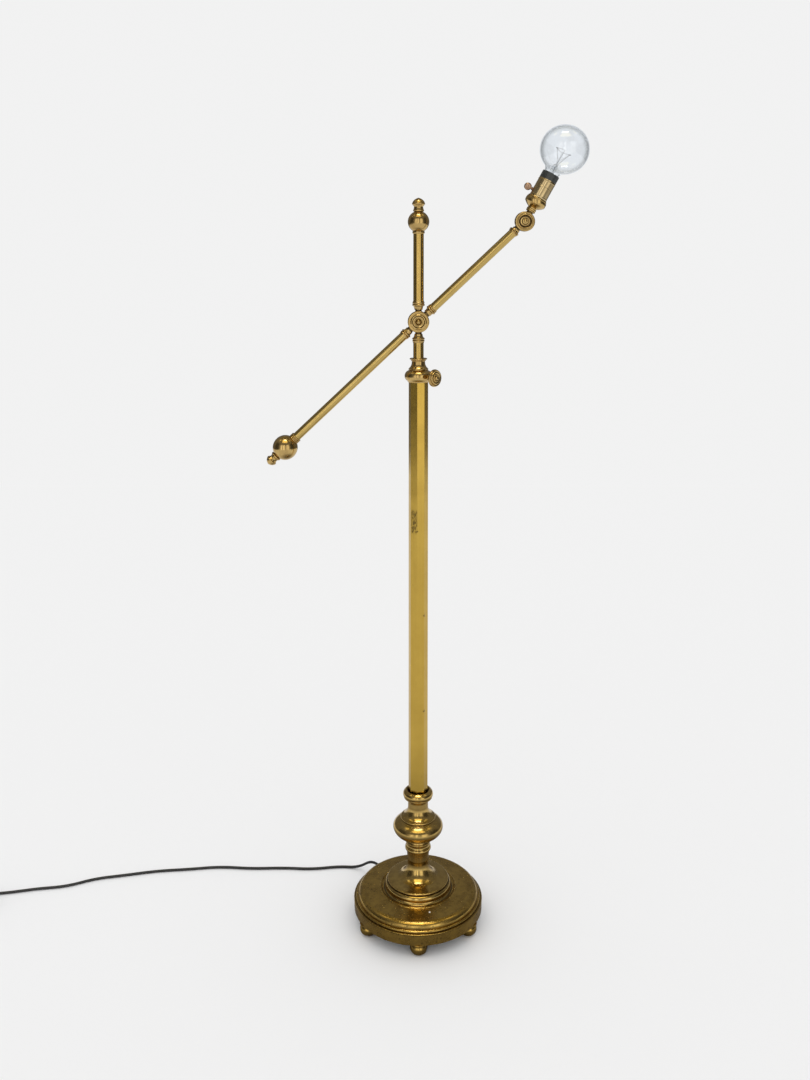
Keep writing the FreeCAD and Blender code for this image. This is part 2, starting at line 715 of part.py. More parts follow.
def joint_cup(tube_r, start, socket, end):
    """Turned cup that joins a knuckle's stem to a tube, along +Z from the pivot."""
    bead = tube_r + CUP_LIP
    length = end - start
    outline = Outline(STEM_R, start)
    outline.line(CUP_START_R, start)
    outline.bulge(bead - 2.4, start + length * 0.40, -0.5)
    outline.line(bead - 1.4, start + length * 0.44)
    outline.bulge(bead - 1.1, start + length * 0.64, 1.0)
    outline.line(bead - 1.7, start + length * 0.67)
    outline.bulge(bead - 1.3, start + length * 0.87, 0.9)
    outline.line(tube_r + 0.6, end)
    outline.line(tube_r, end)
    outline.line(tube_r, socket)
    outline.line(STEM_R, socket)
    return outline.turned()


def flipped(shape):
    return moved(shape, Rotation(Vector(0, 1, 0), 180), Vector(0, 0, 0))


def mast_cups():
    cup = joint_cup(MAST_R, CUP_START, CUP_SOCKET, CUP_END)
    return on_mast(Part.makeCompound([cup, flipped(cup)]))


# ---------------------------------------------------------------- knuckles
def across(shape):
    """Turns a piece made along +Z so that it runs along +Y, to the back."""
    return moved(shape, Rotation(Vector(1, 0, 0), -90), Vector(0, 0, 0))


def knuckle_half(disc_r, half_t, stem_angles, side, reach=CUP_SOCKET):
    """Disc with round stems.  side is +1 for the half at the back, -1 at the front."""
    start = WASHER_T / 2
    outline = Outline(PIVOT_SCREW_R + RUNNING_FIT, start)
    outline.line(WIREWAY_INNER_R, start)
    outline.line(WIREWAY_INNER_R, start + WIREWAY_DEPTH)
    outline.line(WIREWAY_OUTER_R, start + WIREWAY_DEPTH)
    outline.line(WIREWAY_OUTER_R, start)
    outline.line(disc_r, start)
    outline.line(disc_r, half_t - 2.4)
    outline.bulge(disc_r - 2.4, half_t, 0.8)
    outline.line(PIVOT_SCREW_R + RUNNING_FIT, half_t)
    disc = across(outline.turned())
    clear = disc_r + STEM_SWEEP_GAP
    other = across(rod(clear, -half_t - 1, start))
    stems = []
    for angle in stem_angles:
        turn = Rotation(Vector(0, 1, 0), angle)
        stem = rod(STEM_R, WIREWAY_OUTER_R + 1, reach).cut(other)
        stems.append(moved(stem, turn, Vector(0, 0, 0)))
    half = disc.multiFuse(stems).removeSplitter()
    for angle in stem_angles:
        turn = Rotation(Vector(0, 1, 0), angle)
        bore_y = start + WIREWAY_DEPTH / 2
        run = rod(STEM_BORE_R, WIREWAY_INNER_R + 1, disc_r)
        low = moved(run, Rotation(), Vector(0, bore_y, 0))
        bore = low.fuse(rod(STEM_BORE_R, disc_r - 3, reach))
        half = half.cut(moved(bore, turn, Vector(0, 0, 0)))
    if side < 0:
        half = half.mirror(Vector(0, 0, 0), Vector(0, 1, 0))
    return half


def to_front(shape):
    """Turns a piece made along +Z so that it runs along -Y, to the front."""
    return moved(shape, Rotation(Vector(1, 0, 0), 90), Vector(0, 0, 0))


def knuckle_washer(disc_r):
    """Fibre ring on the front half, which the rear half turns on."""
    washer = ring(disc_r - 1, WIREWAY_OUTER_R + 0.3, -WASHER_T / 2, WASHER_T / 2 - FACE_GAP)
    return across(washer)


def knuckle_cap(cap_r, half_t):
    """Turned ornament on the front half: rounded rim, groove and domed hub."""
    hub_r = cap_r * 0.42
    outline = Outline(PIVOT_SCREW_R, 0)
    outline.line(cap_r - 0.8, 0)
    outline.line(cap_r, 1.2)
    outline.bulge(cap_r - 1.6, CAP_T - 0.6, 0.5)
    outline.bulge(cap_r - 4.2, CAP_T - 0.8, 0.7)
    outline.line(cap_r - 5.0, CAP_T - 3.0)
    outline.line(hub_r + 0.8, CAP_T - 3.0)
    outline.bulge(PIVOT_SCREW_R, CAP_T, 0.9)
    return to_front(moved(outline.turned(), Rotation(), Vector(0, 0, half_t)))


def knuckle_screw(half_t):
    """Pivot screw with its button head, and the washer and nut at the back."""
    head = -half_t - CAP_T
    start = half_t + FACE_GAP
    middle = start + KNUCKLE_WASHER_T
    end = middle + KNUCKLE_NUT_H
    outline = Outline(0, end + 1.0)
    outline.line(PIVOT_SCREW_R, end + 1.0)
    outline.line(PIVOT_SCREW_R, head)
    outline.line(PIVOT_SCREW_R - 0.3, head - 0.2)
    outline.dome(head - 1.4)
    washer = ring(KNUCKLE_WASHER_R, PIVOT_SCREW_R, start, middle)
    nut = prism(KNUCKLE_NUT_FLATS, 6, middle, end).cut(rod(PIVOT_SCREW_R, middle, end))
    return across(Part.makeCompound([outline.turned(), washer, nut]))


# ---------------------------------------------------------------- balls, finials
def ball_seat(ball_r, seat_r):
    """Distance from a ball's middle to the flat where its radius is seat_r."""
    return math.sqrt(ball_r * ball_r - seat_r * seat_r)


def turned_ball(ball_r, low_r, high_r):
    """Solid ball about the origin, with flats of these radii below and above."""
    low = ball_seat(ball_r, low_r)
    high = ball_seat(ball_r, high_r)
    outline = Outline(0, -low)
    outline.line(low_r, -low)
    outline.arc(ball_r, 0, high_r, high)
    outline.line(0, high)
    return outline.turned()


def finial(flare_r, neck_r, button_r, length):
    """Flared foot, waist, rim and pointed dome, from z = 0 to its tip."""
    outline = Outline(0, 0)
    outline.line(flare_r - 1.4, 0)
    outline.bulge(flare_r - 0.6, length * 0.12, 0.7)
    outline.arc(neck_r + 0.5, length * 0.24, neck_r, length * 0.35)
    outline.line(button_r - 1.6, length * 0.48)
    outline.bulge(button_r - 0.8, length * 0.65, 1.0)
    outline.bulge(button_r * 0.22, length * 0.965, button_r * 0.11)
    outline.dome(length)
    return outline.turned()


def ferrule(tube_r, bead_r, beads, length):
    """Beaded ring that closes a tube's end, from z = 0, with the tube inside it."""
    step = length / beads
    outline = Outline(tube_r, 0)
    outline.line(bead_r - RING_BEAD, 0)
    for bead in range(beads):
        top = step * (bead + 1)
        outline.bulge(bead_r - RING_BEAD, top, RING_BEAD)
    outline.line(0, length)
    outline.line(0, length - 2.0)
    outline.line(tube_r, length - 2.0)
    return outline.turned()


def mast_seat():
    """Height of the flat under the mast's ball, as wide as the ring below it."""
    return MAST_BALL_Z - ball_seat(MAST_BALL_R, MAST_RING_R - RING_BEAD)


def mast_ring():
    top = mast_seat()
    place = Vector(0, 0, top - MAST_RING_H)
    return moved(ferrule(MAST_R, MAST_RING_R, 1, MAST_RING_H), Rotation(), place)


def mast_ball():
    ball = turned_ball(MAST_BALL_R, MAST_RING_R - RING_BEAD, SEAT_FLAT_R)
    return moved(ball, Rotation(), Vector(0, 0, MAST_BALL_Z))


def mast_finial():
    foot = MAST_BALL_Z + ball_seat(MAST_BALL_R, SEAT_FLAT_R)
    shape = finial(FINIAL_FLARE_R, FINIAL_NECK_R, FINIAL_BUTTON_R, FINIAL_TIP_Z - foot)
    return moved(shape, Rotation(), Vector(0, 0, foot))


def upper_tube_end():
    return mast_seat() - 2.0


def mast_flex():
    """Cord inside the mast, up to the bore of the knuckle's lower stem."""
    return rod(CORD_R, MAST_BOTTOM_Z, PIVOT_Z - PIVOT_DISC_R - STEM_SWEEP_GAP)


# ---------------------------------------------------------------- arm
def arm_cups():
    """The cups at both sides of the pivot and the one at the elbow."""
    cup = joint_cup(ARM_R, CUP_START, CUP_SOCKET, CUP_END)
    back = flipped(cup)
    short = joint_cup(ARM_R, ELBOW_CUP_START, ELBOW_CUP_SOCKET, ELBOW_CUP_END)
    at_end = moved(flipped(short), Rotation(), Vector(0, 0, ELBOW_DISTANCE))
    return on_arm(Part.makeCompound([cup, back, at_end]))


def lamp_arm_tube():
    end = ELBOW_DISTANCE - ELBOW_CUP_SOCKET
    return on_arm(ring(ARM_R, ARM_R - ARM_WALL, CUP_SOCKET, end))


def counter_seat():
    return COUNTER_DISTANCE - ball_seat(COUNTER_BALL_R, FERRULE_R - RING_BEAD)


def counter_arm_tube():
    tube = ring(ARM_R, ARM_R - ARM_WALL, CUP_SOCKET, counter_seat() - 2.0)
    return on_arm(flipped(tube))


def counterweight_ferrule():
    shape = moved(ferrule(ARM_R, FERRULE_R, 3, FERRULE_L), Rotation(),
                  Vector(0, 0, counter_seat() - FERRULE_L))
    return on_arm(flipped(shape))


def counterweight_ball():
    ball = turned_ball(COUNTER_BALL_R, FERRULE_R - RING_BEAD, SEAT_FLAT_R)
    return on_arm(flipped(moved(ball, Rotation(), Vector(0, 0, COUNTER_DISTANCE))))


def counterweight_finial():
    foot = COUNTER_DISTANCE + ball_seat(COUNTER_BALL_R, SEAT_FLAT_R)
    shape = finial(COUNTER_FLARE_R, COUNTER_NECK_R, COUNTER_BUTTON_R, COUNTER_TIP - foot)
    return on_arm(flipped(moved(shape, Rotation(), Vector(0, 0, foot))))


def at_elbow(shape):
    """From a frame with +Z along the lamp arm and the elbow at the origin."""
    return on_arm(moved(shape, Rotation(), Vector(0, 0, ELBOW_DISTANCE)))


def elbow_rear():
    return at_elbow(knuckle_half(ELBOW_DISC_R, ELBOW_HALF_T, [180], 1, ELBOW_CUP_SOCKET))


def arm_flex():
    start = PIVOT_DISC_R + STEM_SWEEP_GAP
    end = ELBOW_DISTANCE - ELBOW_DISC_R - STEM_SWEEP_GAP
    return on_arm(rod(CORD_R, start, end))


# ---------------------------------------------------------------- lamp head
def key_bore(radius):
    """Cutter for the key's shaft, square to the head's axis, on its left side."""
    cutter = rod(radius, KEY_SHAFT_START, SHELL_R + 4)
    return moved(cutter, Rotation(Vector(0, 1, 0), -90), Vector(0, 0, KEY_AT))


def socket_cap():
    inner_r = SHELL_R + RUNNING_FIT
    seat = CORE_START - 3.0
    outline = Outline(STEM_R, HEAD_CAP_START)
    outline.line(HEAD_CAP_NECK_R, HEAD_CAP_START)
    outline.bulge(HEAD_CAP_NECK_R, HEAD_CAP_START + 3.0, 0.8)
    outline.bulge(HEAD_CAP_NECK_R, HEAD_CAP_START + 6.6, 0.9)
    outline.line(HEAD_CAP_NECK_R + 0.2, HEAD_CAP_START + 8.2)
    outline.bulge(HEAD_CAP_R - 1.3, HEAD_BAND_START, 0.5)
    outline.line(HEAD_CAP_R - 0.5, HEAD_BAND_START + 0.7)
    outline.bulge(HEAD_CAP_R - 0.5, HEAD_BAND_END, 0.5)
    outline.line(HEAD_CAP_R - 1.4, HEAD_BAND_END + 0.6)
    outline.bulge(inner_r + 0.7, HEAD_CAP_END, 0.5)
    outline.line(inner_r, HEAD_CAP_END)
    outline.line(inner_r, seat)
    outline.line(inner_r - CAP_WALL, seat)
    outline.arc(HEAD_CAP_R - 7.2, HEAD_BAND_START + 1.6, HEAD_CAP_NECK_R + 0.4, CUP_SOCKET + 2)
    outline.line(STEM_BORE_R, CUP_SOCKET + 2)
    outline.line(STEM_BORE_R, CUP_SOCKET)
    outline.line(STEM_R, CUP_SOCKET)
    return on_head(outline.turned())


def socket_shell():
    shell = ring(SHELL_R, SHELL_R - SHELL_THICKNESS, CORE_START - 3.0, SLEEVE_START)
    return on_head(shell.cut(key_bore(KEY_SHAFT_R + CORD_GAP)))


def socket_sleeve():
    """Black insulating ring at the mouth, with a spigot inside the metal shell."""
    spigot_r = SHELL_R - SHELL_THICKNESS - RUNNING_FIT
    mouth_r = GLOBE_NECK_R + SLEEVE_MOUTH_GAP
    outline = Outline(mouth_r, SLEEVE_START - 8)
    outline.line(spigot_r, SLEEVE_START - 8)
    outline.line(spigot_r, SLEEVE_START)
    outline.line(SHELL_R, SLEEVE_START)
    outline.line(SHELL_R, SLEEVE_END)
    outline.line(mouth_r, SLEEVE_END)
    return on_head(outline.turned())


def socket_core():
    """Moulded body of the switch, which fills the shell behind the thread."""
    core = rod(SHELL_R - SHELL_THICKNESS - RUNNING_FIT, CORE_START, CORE_END)
    return on_head(core.cut(key_bore(KEY_SHAFT_R + RUNNING_FIT)))


def socket_contacts():
    """Thin screw shell of the socket, and the centre contact inside it."""
    inner_r = SCREW_SHELL_R - SCREW_SHELL_T
    wall = ring(SCREW_SHELL_R, inner_r, CORE_END, SCREW_SHELL_END)
    floor = ring(inner_r + SCREW_SHELL_T / 2, FLOOR_HOLE_R, CORE_END, CORE_END + SCREW_SHELL_T)
    contact = rod(CONTACT_R, CORE_END, CORE_END + CONTACT_H)
    return on_head(Part.makeCompound([wall.fuse(floor).removeSplitter(), contact]))


def head_flex():
    """Cord through the knuckle's stem to the switch."""
    return on_head(rod(CORD_R, ELBOW_DISC_R + STEM_SWEEP_GAP, CORE_START))


def switch_key():
    """Key of the switch: a round shaft and a flat round paddle."""
    shaft_end = KEY_CENTRE - KEY_PADDLE_R + 1.5
    shaft = moved(rod(KEY_SHAFT_R, KEY_SHAFT_START + FACE_GAP, shaft_end),
                  Rotation(Vector(0, 1, 0), -90), Vector(0, 0, KEY_AT))
    paddle = across(rod(KEY_PADDLE_R, -KEY_PADDLE_T / 2, KEY_PADDLE_T / 2))
    paddle = moved(paddle, Rotation(), Vector(-KEY_CENTRE, 0, KEY_AT))
    return on_head(shaft.fuse(paddle))


# ---------------------------------------------------------------- bulb
BULB_CAP_R = SCREW_SHELL_R - SCREW_SHELL_T - RUNNING_FIT
BULB_CAP_WALL = 0.8
GLASS_IN_CAP_R = BULB_CAP_R - BULB_CAP_WALL
GLASS_FOOT = BULB_CAP_END - 7.0
BULB_TIP_START = CORE_END + CONTACT_H + FACE_GAP
BULB_CAP_START = BULB_TIP_START + BULB_TIP_L


def bulb_cap():
    cup = rod(BULB_CAP_R, BULB_CAP_START, BULB_CAP_END)
    return on_head(cup.cut(rod(GLASS_IN_CAP_R, BULB_CAP_START + BULB_CAP_WALL, BULB_CAP_END)))


def bulb_contact():
    """Black insulator under the cap, with the contact at its tip."""
    outline = Outline(0, BULB_TIP_START)
    outline.line(4.0, BULB_TIP_START)
    outline.line(5.0, BULB_TIP_START + 1.2)
    outline.line(BULB_CAP_R - 1.5, BULB_CAP_START)
    outline.line(0, BULB_CAP_START)
    return on_head(outline.turned())


def globe_meet(radius, meet_r):
    """Distance from the elbow to where the globe has the given radius, below."""
    return GLOBE_AT - math.sqrt(radius * radius - meet_r * meet_r)


def bulb_glass():
    """Clear globe of even wall with a short neck held in the cap."""
    inner_r = GLOBE_R - GLASS_WALL
    meet_r = GLOBE_NECK_R + 5.0
    foot_r = GLASS_IN_CAP_R - GLASS_WALL
    meet_z = globe_meet(GLOBE_R, meet_r)
    inner_meet_z = globe_meet(inner_r, meet_r - GLASS_WALL)
    outline = Outline(foot_r, GLASS_FOOT)
    outline.line(GLASS_IN_CAP_R, GLASS_FOOT)
    outline.line(GLASS_IN_CAP_R, BULB_CAP_END)
    outline.line(GLOBE_NECK_R, BULB_CAP_END + 2.5)
    outline.bulge(meet_r, meet_z, -0.9)
    outline.arc(GLOBE_R, GLOBE_AT, 0, GLOBE_AT + GLOBE_R)
    outline.line(0, GLOBE_AT + inner_r)
    outline.arc(inner_r, GLOBE_AT, meet_r - GLASS_WALL, inner_meet_z)
    outline.bulge(GLOBE_NECK_R - GLASS_WALL, BULB_CAP_END + 3.0, 0.9)
    outline.line(foot_r, BULB_CAP_END + 0.6)
    return on_head(outline.turned())


def glass_stem():
    """Flared glass mount sealed into the neck, which carries the filament."""
    foot_r = GLASS_IN_CAP_R - GLASS_WALL
    outline = Outline(0, GLASS_FOOT)
    outline.line(foot_r, GLASS_FOOT)
    outline.line(foot_r, GLASS_FOOT + 1.2)
    outline.bulge(GLASS_STEM_R, GLASS_FOOT + 12, -2.5)
    outline.line(GLASS_STEM_R - 1.0, GLASS_STEM_TOP - 8)
    outline.line(2.2, GLASS_STEM_TOP - 5)
    outline.line(2.2, GLASS_STEM_TOP - 1.5)
    outline.dome(GLASS_STEM_TOP)
    return on_head(outline.turned())


def stick(start, end, radius):
    way = end - start
    return Part.makeCylinder(radius, way.Length, start, way)


def filament():
    """Open ring of filament on two leads and four supports."""
    loop = Part.makeTorus(FILAMENT_R, FILAMENT_WIRE_R, Vector(0, 0, FILAMENT_AT), UP, 0, 360, 300)
    pieces = []
    for angle, start_z in ((0, -8.5), (60, -2), (120, -2), (180, -2), (240, -2), (300, -8.5)):
        rim = radial(angle, FILAMENT_R, FILAMENT_AT)
        root = radial(angle, 1.2, GLASS_STEM_TOP + start_z)
        pieces.append(stick(root, rim, FILAMENT_WIRE_R))
    return on_head(loop.multiFuse(pieces))


# ---------------------------------------------------------------- cord
def cord_bushing():
    """Rubber bushing in the plinth's wall, with a tapered strain relief outside."""
    neck_r = BUSHING_HOLE_R - RUNNING_FIT
    outline = Outline(CORD_R + CORD_GAP, INNER_R - BUSHING_FLANGE_T - 0.4)
    outline.line(BUSHING_FLANGE_R, INNER_R - BUSHING_FLANGE_T - 0.4)
    outline.line(BUSHING_FLANGE_R, INNER_R - 0.4)
    outline.line(neck_r, INNER_R - 0.4)
    outline.line(neck_r, PLINTH_R)
    outline.line(BUSHING_FLANGE_R, PLINTH_R)
    outline.line(BUSHING_FLANGE_R, PLINTH_R + BUSHING_FLANGE_T)
    outline.line(CORD_R + 1.4, cord_start_r())
    outline.line(CORD_R + CORD_GAP, cord_start_r())
    return moved(outline.turned(), pointing(BUSHING_DIRECTION), Vector(0, 0, BUSHING_Z))


def cord_start_r():
    return PLINTH_R + BUSHING_FLANGE_T + BUSHING_NOSE_L


def base_flex():
    """Cord inside the base: level along the weight's channel and up the tie pipe."""
    bend_top = Vector(0, 0, BUSHING_Z + INNER_BEND_R)
    corner = Vector(0, 0, BUSHING_Z)
    bend_start = radial(BUSHING_DIRECTION, INNER_BEND_R, BUSHING_Z)
    outside = radial(BUSHING_DIRECTION, cord_start_r(), BUSHING_Z)
    top = Vector(0, 0, COLUMN_SEAT_Z + COLUMN_PLUG_H)
    edges = [
        Part.LineSegment(outside, bend_start).toShape(),
        arc_edge(bend_start, corner, bend_top),
        Part.LineSegment(bend_top, top).toShape(),
    ]
    return tube_along(edges, CORD_R, "base_flex")


def coil_start():
    return Vector(COIL_X + CORD_D, COIL_Y + COIL_OUTER_R, CORD_FLOOR_Z)


def cord_route():
    """Free cord from the bushing, down to the floor and off to the left."""
    end = coil_start()
    return [
        radial(BUSHING_DIRECTION, cord_start_r(), BUSHING_Z),
        radial(BUSHING_DIRECTION, cord_start_r() + 22, BUSHING_Z),
        Vector(-119, 150, CORD_FLOOR_Z),
        Vector(-160, 154, CORD_FLOOR_Z),
        Vector(-212, 144, CORD_FLOOR_Z),
        Vector(-272, 149, CORD_FLOOR_Z),
        Vector(-336, 146, CORD_FLOOR_Z),
        Vector(-402, 153, CORD_FLOOR_Z),
        Vector(-462, 144, CORD_FLOOR_Z),
        Vector(-528, 138, CORD_FLOOR_Z),
        Vector(-590, 123, CORD_FLOOR_Z),
        Vector(-645, 112, CORD_FLOOR_Z),
        Vector(-694, 86, CORD_FLOOR_Z),
        Vector(-748, 79, CORD_FLOOR_Z),
        Vector(-796, 67, CORD_FLOOR_Z),
        Vector(end.x + 26, end.y, CORD_FLOOR_Z),
        end,
    ]


def coil_point(turns):
    """Middle of the coil's cord after a number of turns: out, in, and up by layers."""
    layer = int(min(turns // COIL_TURNS_PER_LAYER, COIL_LAYERS - 1))
    done = turns - layer * COIL_TURNS_PER_LAYER
    inward = layer % 2 == 0
    in_steps = done if inward else COIL_TURNS_PER_LAYER - done
    radius = COIL_OUTER_R - COIL_PITCH * in_steps
    height = 0.0
    for change in range(1, COIL_LAYERS):
        since = (turns - change * COIL_TURNS_PER_LAYER) / 0.5 + 0.5
        share = min(max(since, 0.0), 1.0)
        height += COIL_PITCH * share * share * (3 - 2 * share)
    angle = math.radians(90 + 360 * turns)
    return Vector(COIL_X + radius * math.cos(angle), COIL_Y + radius * math.sin(angle),
                  CORD_FLOOR_Z + height)


def coil_edges():
    """Straight lead-in, the turns as biarcs of a quarter turn, and the lead-out."""
    total = COIL_LAYERS * COIL_TURNS_PER_LAYER
    quarters = int(round(total * 4))
    edges = []
    tiny = 0.001
    start = coil_start()
    first = coil_point(0)
    edges.append(Part.LineSegment(start, first).toShape())
    points = [coil_point(total * index / quarters) for index in range(quarters + 1)]
    ways = [Vector(-1, 0, 0)]
    for index in range(1, quarters):
        turns = total * index / quarters
        ways.append((coil_point(turns + tiny) - coil_point(turns - tiny)).normalize())
    ways.append(Vector(0, -1, 0))
    for index in range(quarters):
        edges += biarc_edges(points[index], ways[index], points[index + 1], ways[index + 1])
    leave = points[-1]
    edges += rounded_route(lead_out(leave), "lead-out")
    return edges


def lead_out(leave):
    """From the top turn, clear of the coil, down to the plug on the floor."""
    plug_z = PLUG_THICKNESS / 2 + FLOOR_CLEARANCE
    return [
        leave,
        leave + Vector(0, -24, 0),
        Vector(leave.x - 7, leave.y - 52, plug_z),
        Vector(leave.x - 8, leave.y - 78, plug_z),
    ]


def coil_gap(edges):
    """Least gap between parts of the coil's cord that aren't beside each other."""
    points = []
    spacing = 1.5
    for edge in edges:
        count = max(2, int(edge.Length / spacing))
        low = edge.FirstParameter
        high = edge.LastParameter
        for index in range(count):
            points.append(edge.valueAt(low + (high - low) * index / count))
    skip = int(8 * CORD_D / spacing)
    least = 1e9
    for index, point in enumerate(points):
        for other in points[index + skip:]:
            least = min(least, (point - other).Length)
    return least - CORD_D


def cord_coil(edges):
    print("coil's least gap to itself %.2f" % coil_gap(edges))
    return tube_along(edges, CORD_R, "cord_coil")


def plug_place(edges):
    """Where the cord ends and the way it points, on the floor."""
    last = edges[-1]
    ends = [last.valueAt(last.FirstParameter), last.valueAt(last.LastParameter)]
    way = (ends[1] - ends[0]).normalize()
    level = Vector(way.x, way.y, 0).normalize()
    turn = Rotation(UP, math.degrees(math.atan2(level.y, level.x)))
    return turn, ends[1]


def plug_body():
    """Moulded plug along +X from the cord's end: tapered relief, then the block."""
    outline = Outline(0, 0)
    outline.line(CORD_R + 1.0, 0)
    outline.line(PLUG_RELIEF_R, PLUG_RELIEF_L)
    outline.line(0, PLUG_RELIEF_L)
    relief = moved(outline.turned(), Rotation(Vector(0, 1, 0), 90), Vector(0, 0, 0))
    block = Part.makeBox(PLUG_LENGTH, PLUG_WIDTH, PLUG_THICKNESS,
                         Vector(PLUG_RELIEF_L - 1, -PLUG_WIDTH / 2, -PLUG_THICKNESS / 2))
    block = block.makeFillet(3.0, block.Edges)
    return relief.fuse(block).removeSplitter()


def plug_blades():
    face = PLUG_RELIEF_L - 1 + PLUG_LENGTH
    blades = []
    for side in (-1, 1):
        corner = Vector(face, side * BLADE_SPACING / 2 - BLADE_T / 2, -BLADE_WIDTH / 2)
        blades.append(Part.makeBox(BLADE_L, BLADE_T, BLADE_WIDTH, corner))
    return Part.makeCompound(blades)


# ---------------------------------------------------------------- write the pieces
def main():
    base = {
        "base_shell": base_shell(),
        "base_weight": base_weight(),
        "bottom_plate": bottom_plate(),
        "ball_feet": ball_feet(),
        "foot_screws": foot_screws(),
        "stem_pedestal": stem_pedestal(),
        "neck_ring": neck_ring(),
        "stem_bulb": stem_bulb(),
        "column_cup": column_cup(),
        "tie_pipe": tie_pipe(),
        "tie_nut": tie_nut(),
        "column": column(),
        "column_plug": column_plug(),
        "column_collar": column_collar(),
        "cord_bushing": cord_bushing(),
        "base_flex": base_flex(),
    }
    clamp = {"clamp_pad": clamp_pad(), "thumb_screw": thumb_screw()}
    mast = {
        "slide_guide": slide_guide(),
        "guide_stops": guide_stops(),
        "mast_tube": mast_tube(),
        "mast_cups": mast_cups(),
        "pivot_rear": on_mast(knuckle_half(PIVOT_DISC_R, PIVOT_HALF_T, [0, 180], 1)),
        "upper_mast_tube": upper_mast_tube(),
        "mast_ring": mast_ring(),
        "mast_ball": mast_ball(),
        "mast_finial": mast_finial(),
        "mast_flex": mast_flex(),
    }
    arm = {
        "pivot_front": on_arm(knuckle_half(PIVOT_DISC_R, PIVOT_HALF_T, [0, 180], -1)),
        "pivot_washer": on_arm(knuckle_washer(PIVOT_DISC_R)),
        "pivot_cap": on_arm(knuckle_cap(PIVOT_CAP_R, PIVOT_HALF_T)),
        "pivot_screw": on_arm(knuckle_screw(PIVOT_HALF_T)),
        "arm_cups": arm_cups(),
        "lamp_arm_tube": lamp_arm_tube(),
        "counter_arm_tube": counter_arm_tube(),
        "counterweight_ferrule": counterweight_ferrule(),
        "counterweight_ball": counterweight_ball(),
        "counterweight_finial": counterweight_finial(),
        "elbow_rear": elbow_rear(),
        "arm_flex": arm_flex(),
    }
    head = {
        "elbow_front": on_head(knuckle_half(ELBOW_DISC_R, ELBOW_HALF_T, [0], -1)),
        "elbow_washer": on_head(knuckle_washer(ELBOW_DISC_R)),
        "elbow_cap": on_head(knuckle_cap(ELBOW_CAP_R, ELBOW_HALF_T)),
        "elbow_screw": on_head(knuckle_screw(ELBOW_HALF_T)),
        "socket_cap": socket_cap(),
        "socket_shell": socket_shell(),
        "socket_sleeve": socket_sleeve(),
        "socket_core": socket_core(),
        "socket_contacts": socket_contacts(),
        "switch_key": switch_key(),
        "head_flex": head_flex(),
    }
    bulb = {
        "bulb_cap": bulb_cap(),
        "bulb_contact": bulb_contact(),
        "bulb_glass": bulb_glass(),
        "glass_stem": glass_stem(),
        "filament": filament(),
    }
    for group in (base, clamp, mast, arm, head, bulb):
        for name, shape in group.items():
            save(name, shape)

    save("cord", tube_along(rounded_route(cord_route(), "cord"), CORD_R, "cord"))
    edges = coil_edges()
    save("cord_coil", cord_coil(edges))
    turn, end = plug_place(edges)
    save("plug_body", moved(plug_body(), turn, end))
    save("plug_blades", moved(plug_blades(), turn, end))


main()
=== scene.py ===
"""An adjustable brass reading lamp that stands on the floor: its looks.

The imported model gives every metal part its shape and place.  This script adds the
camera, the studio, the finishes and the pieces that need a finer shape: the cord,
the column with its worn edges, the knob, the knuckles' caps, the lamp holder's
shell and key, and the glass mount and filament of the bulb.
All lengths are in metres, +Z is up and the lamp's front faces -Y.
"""

import logging
import math
from dataclasses import dataclass, field
from enum import Enum

import bmesh
import bpy
from mathutils import Matrix, Vector


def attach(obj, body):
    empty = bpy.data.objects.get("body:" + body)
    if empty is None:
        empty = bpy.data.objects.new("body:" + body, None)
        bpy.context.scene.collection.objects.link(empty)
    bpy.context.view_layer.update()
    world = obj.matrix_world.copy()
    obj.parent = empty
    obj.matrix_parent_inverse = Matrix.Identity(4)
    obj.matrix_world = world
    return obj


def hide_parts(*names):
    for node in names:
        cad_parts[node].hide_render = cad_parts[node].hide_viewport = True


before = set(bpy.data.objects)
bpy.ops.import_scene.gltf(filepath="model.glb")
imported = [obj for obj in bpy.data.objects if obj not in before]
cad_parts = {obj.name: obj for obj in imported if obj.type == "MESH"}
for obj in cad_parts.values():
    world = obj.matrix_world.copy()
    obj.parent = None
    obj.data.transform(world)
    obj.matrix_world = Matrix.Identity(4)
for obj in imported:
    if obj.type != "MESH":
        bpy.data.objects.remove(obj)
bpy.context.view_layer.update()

LOG = logging.getLogger("lamp")
Colour = tuple[float, float, float]
Point = tuple[float, float, float]

# The two knuckles, and how far the arm and the lamp holder lean from upright.
PIVOT: Point = (0.0, 0.0, 1.126)
ELBOW: Point = (0.191816, 0.0, 1.307391)
ARM_LEAN = 46.6
HEAD_LEAN = 28.8


# ------------------------------------------------------------------ shared tools
class Side(Enum):
    """Ways that a turned piece can point, each as a turn about one axis."""

    UP = ("Y", 0.0)
    FRONT = ("X", 90.0)


def deselect() -> None:
    """Leaves object mode's selection empty, so that operators touch one piece."""
    bpy.ops.object.select_all(action="DESELECT")


def rename(piece: bpy.types.Object, name: str) -> bpy.types.Object:
    """Gives an object and its data one name.

    Args:
        piece: The object.
        name: The name for it and for its mesh or curve.

    Returns:
        The same object.
    """
    piece.name = name
    piece.data.name = name
    return piece


def choose(piece: bpy.types.Object) -> None:
    """Selects one object alone and makes it active."""
    deselect()
    piece.select_set(True)
    bpy.context.view_layer.objects.active = piece


def apply_place(piece: bpy.types.Object) -> None:
    """Moves an object's place, turn and scale into its mesh."""
    choose(piece)
    bpy.ops.object.transform_apply(location=True, rotation=True, scale=True)


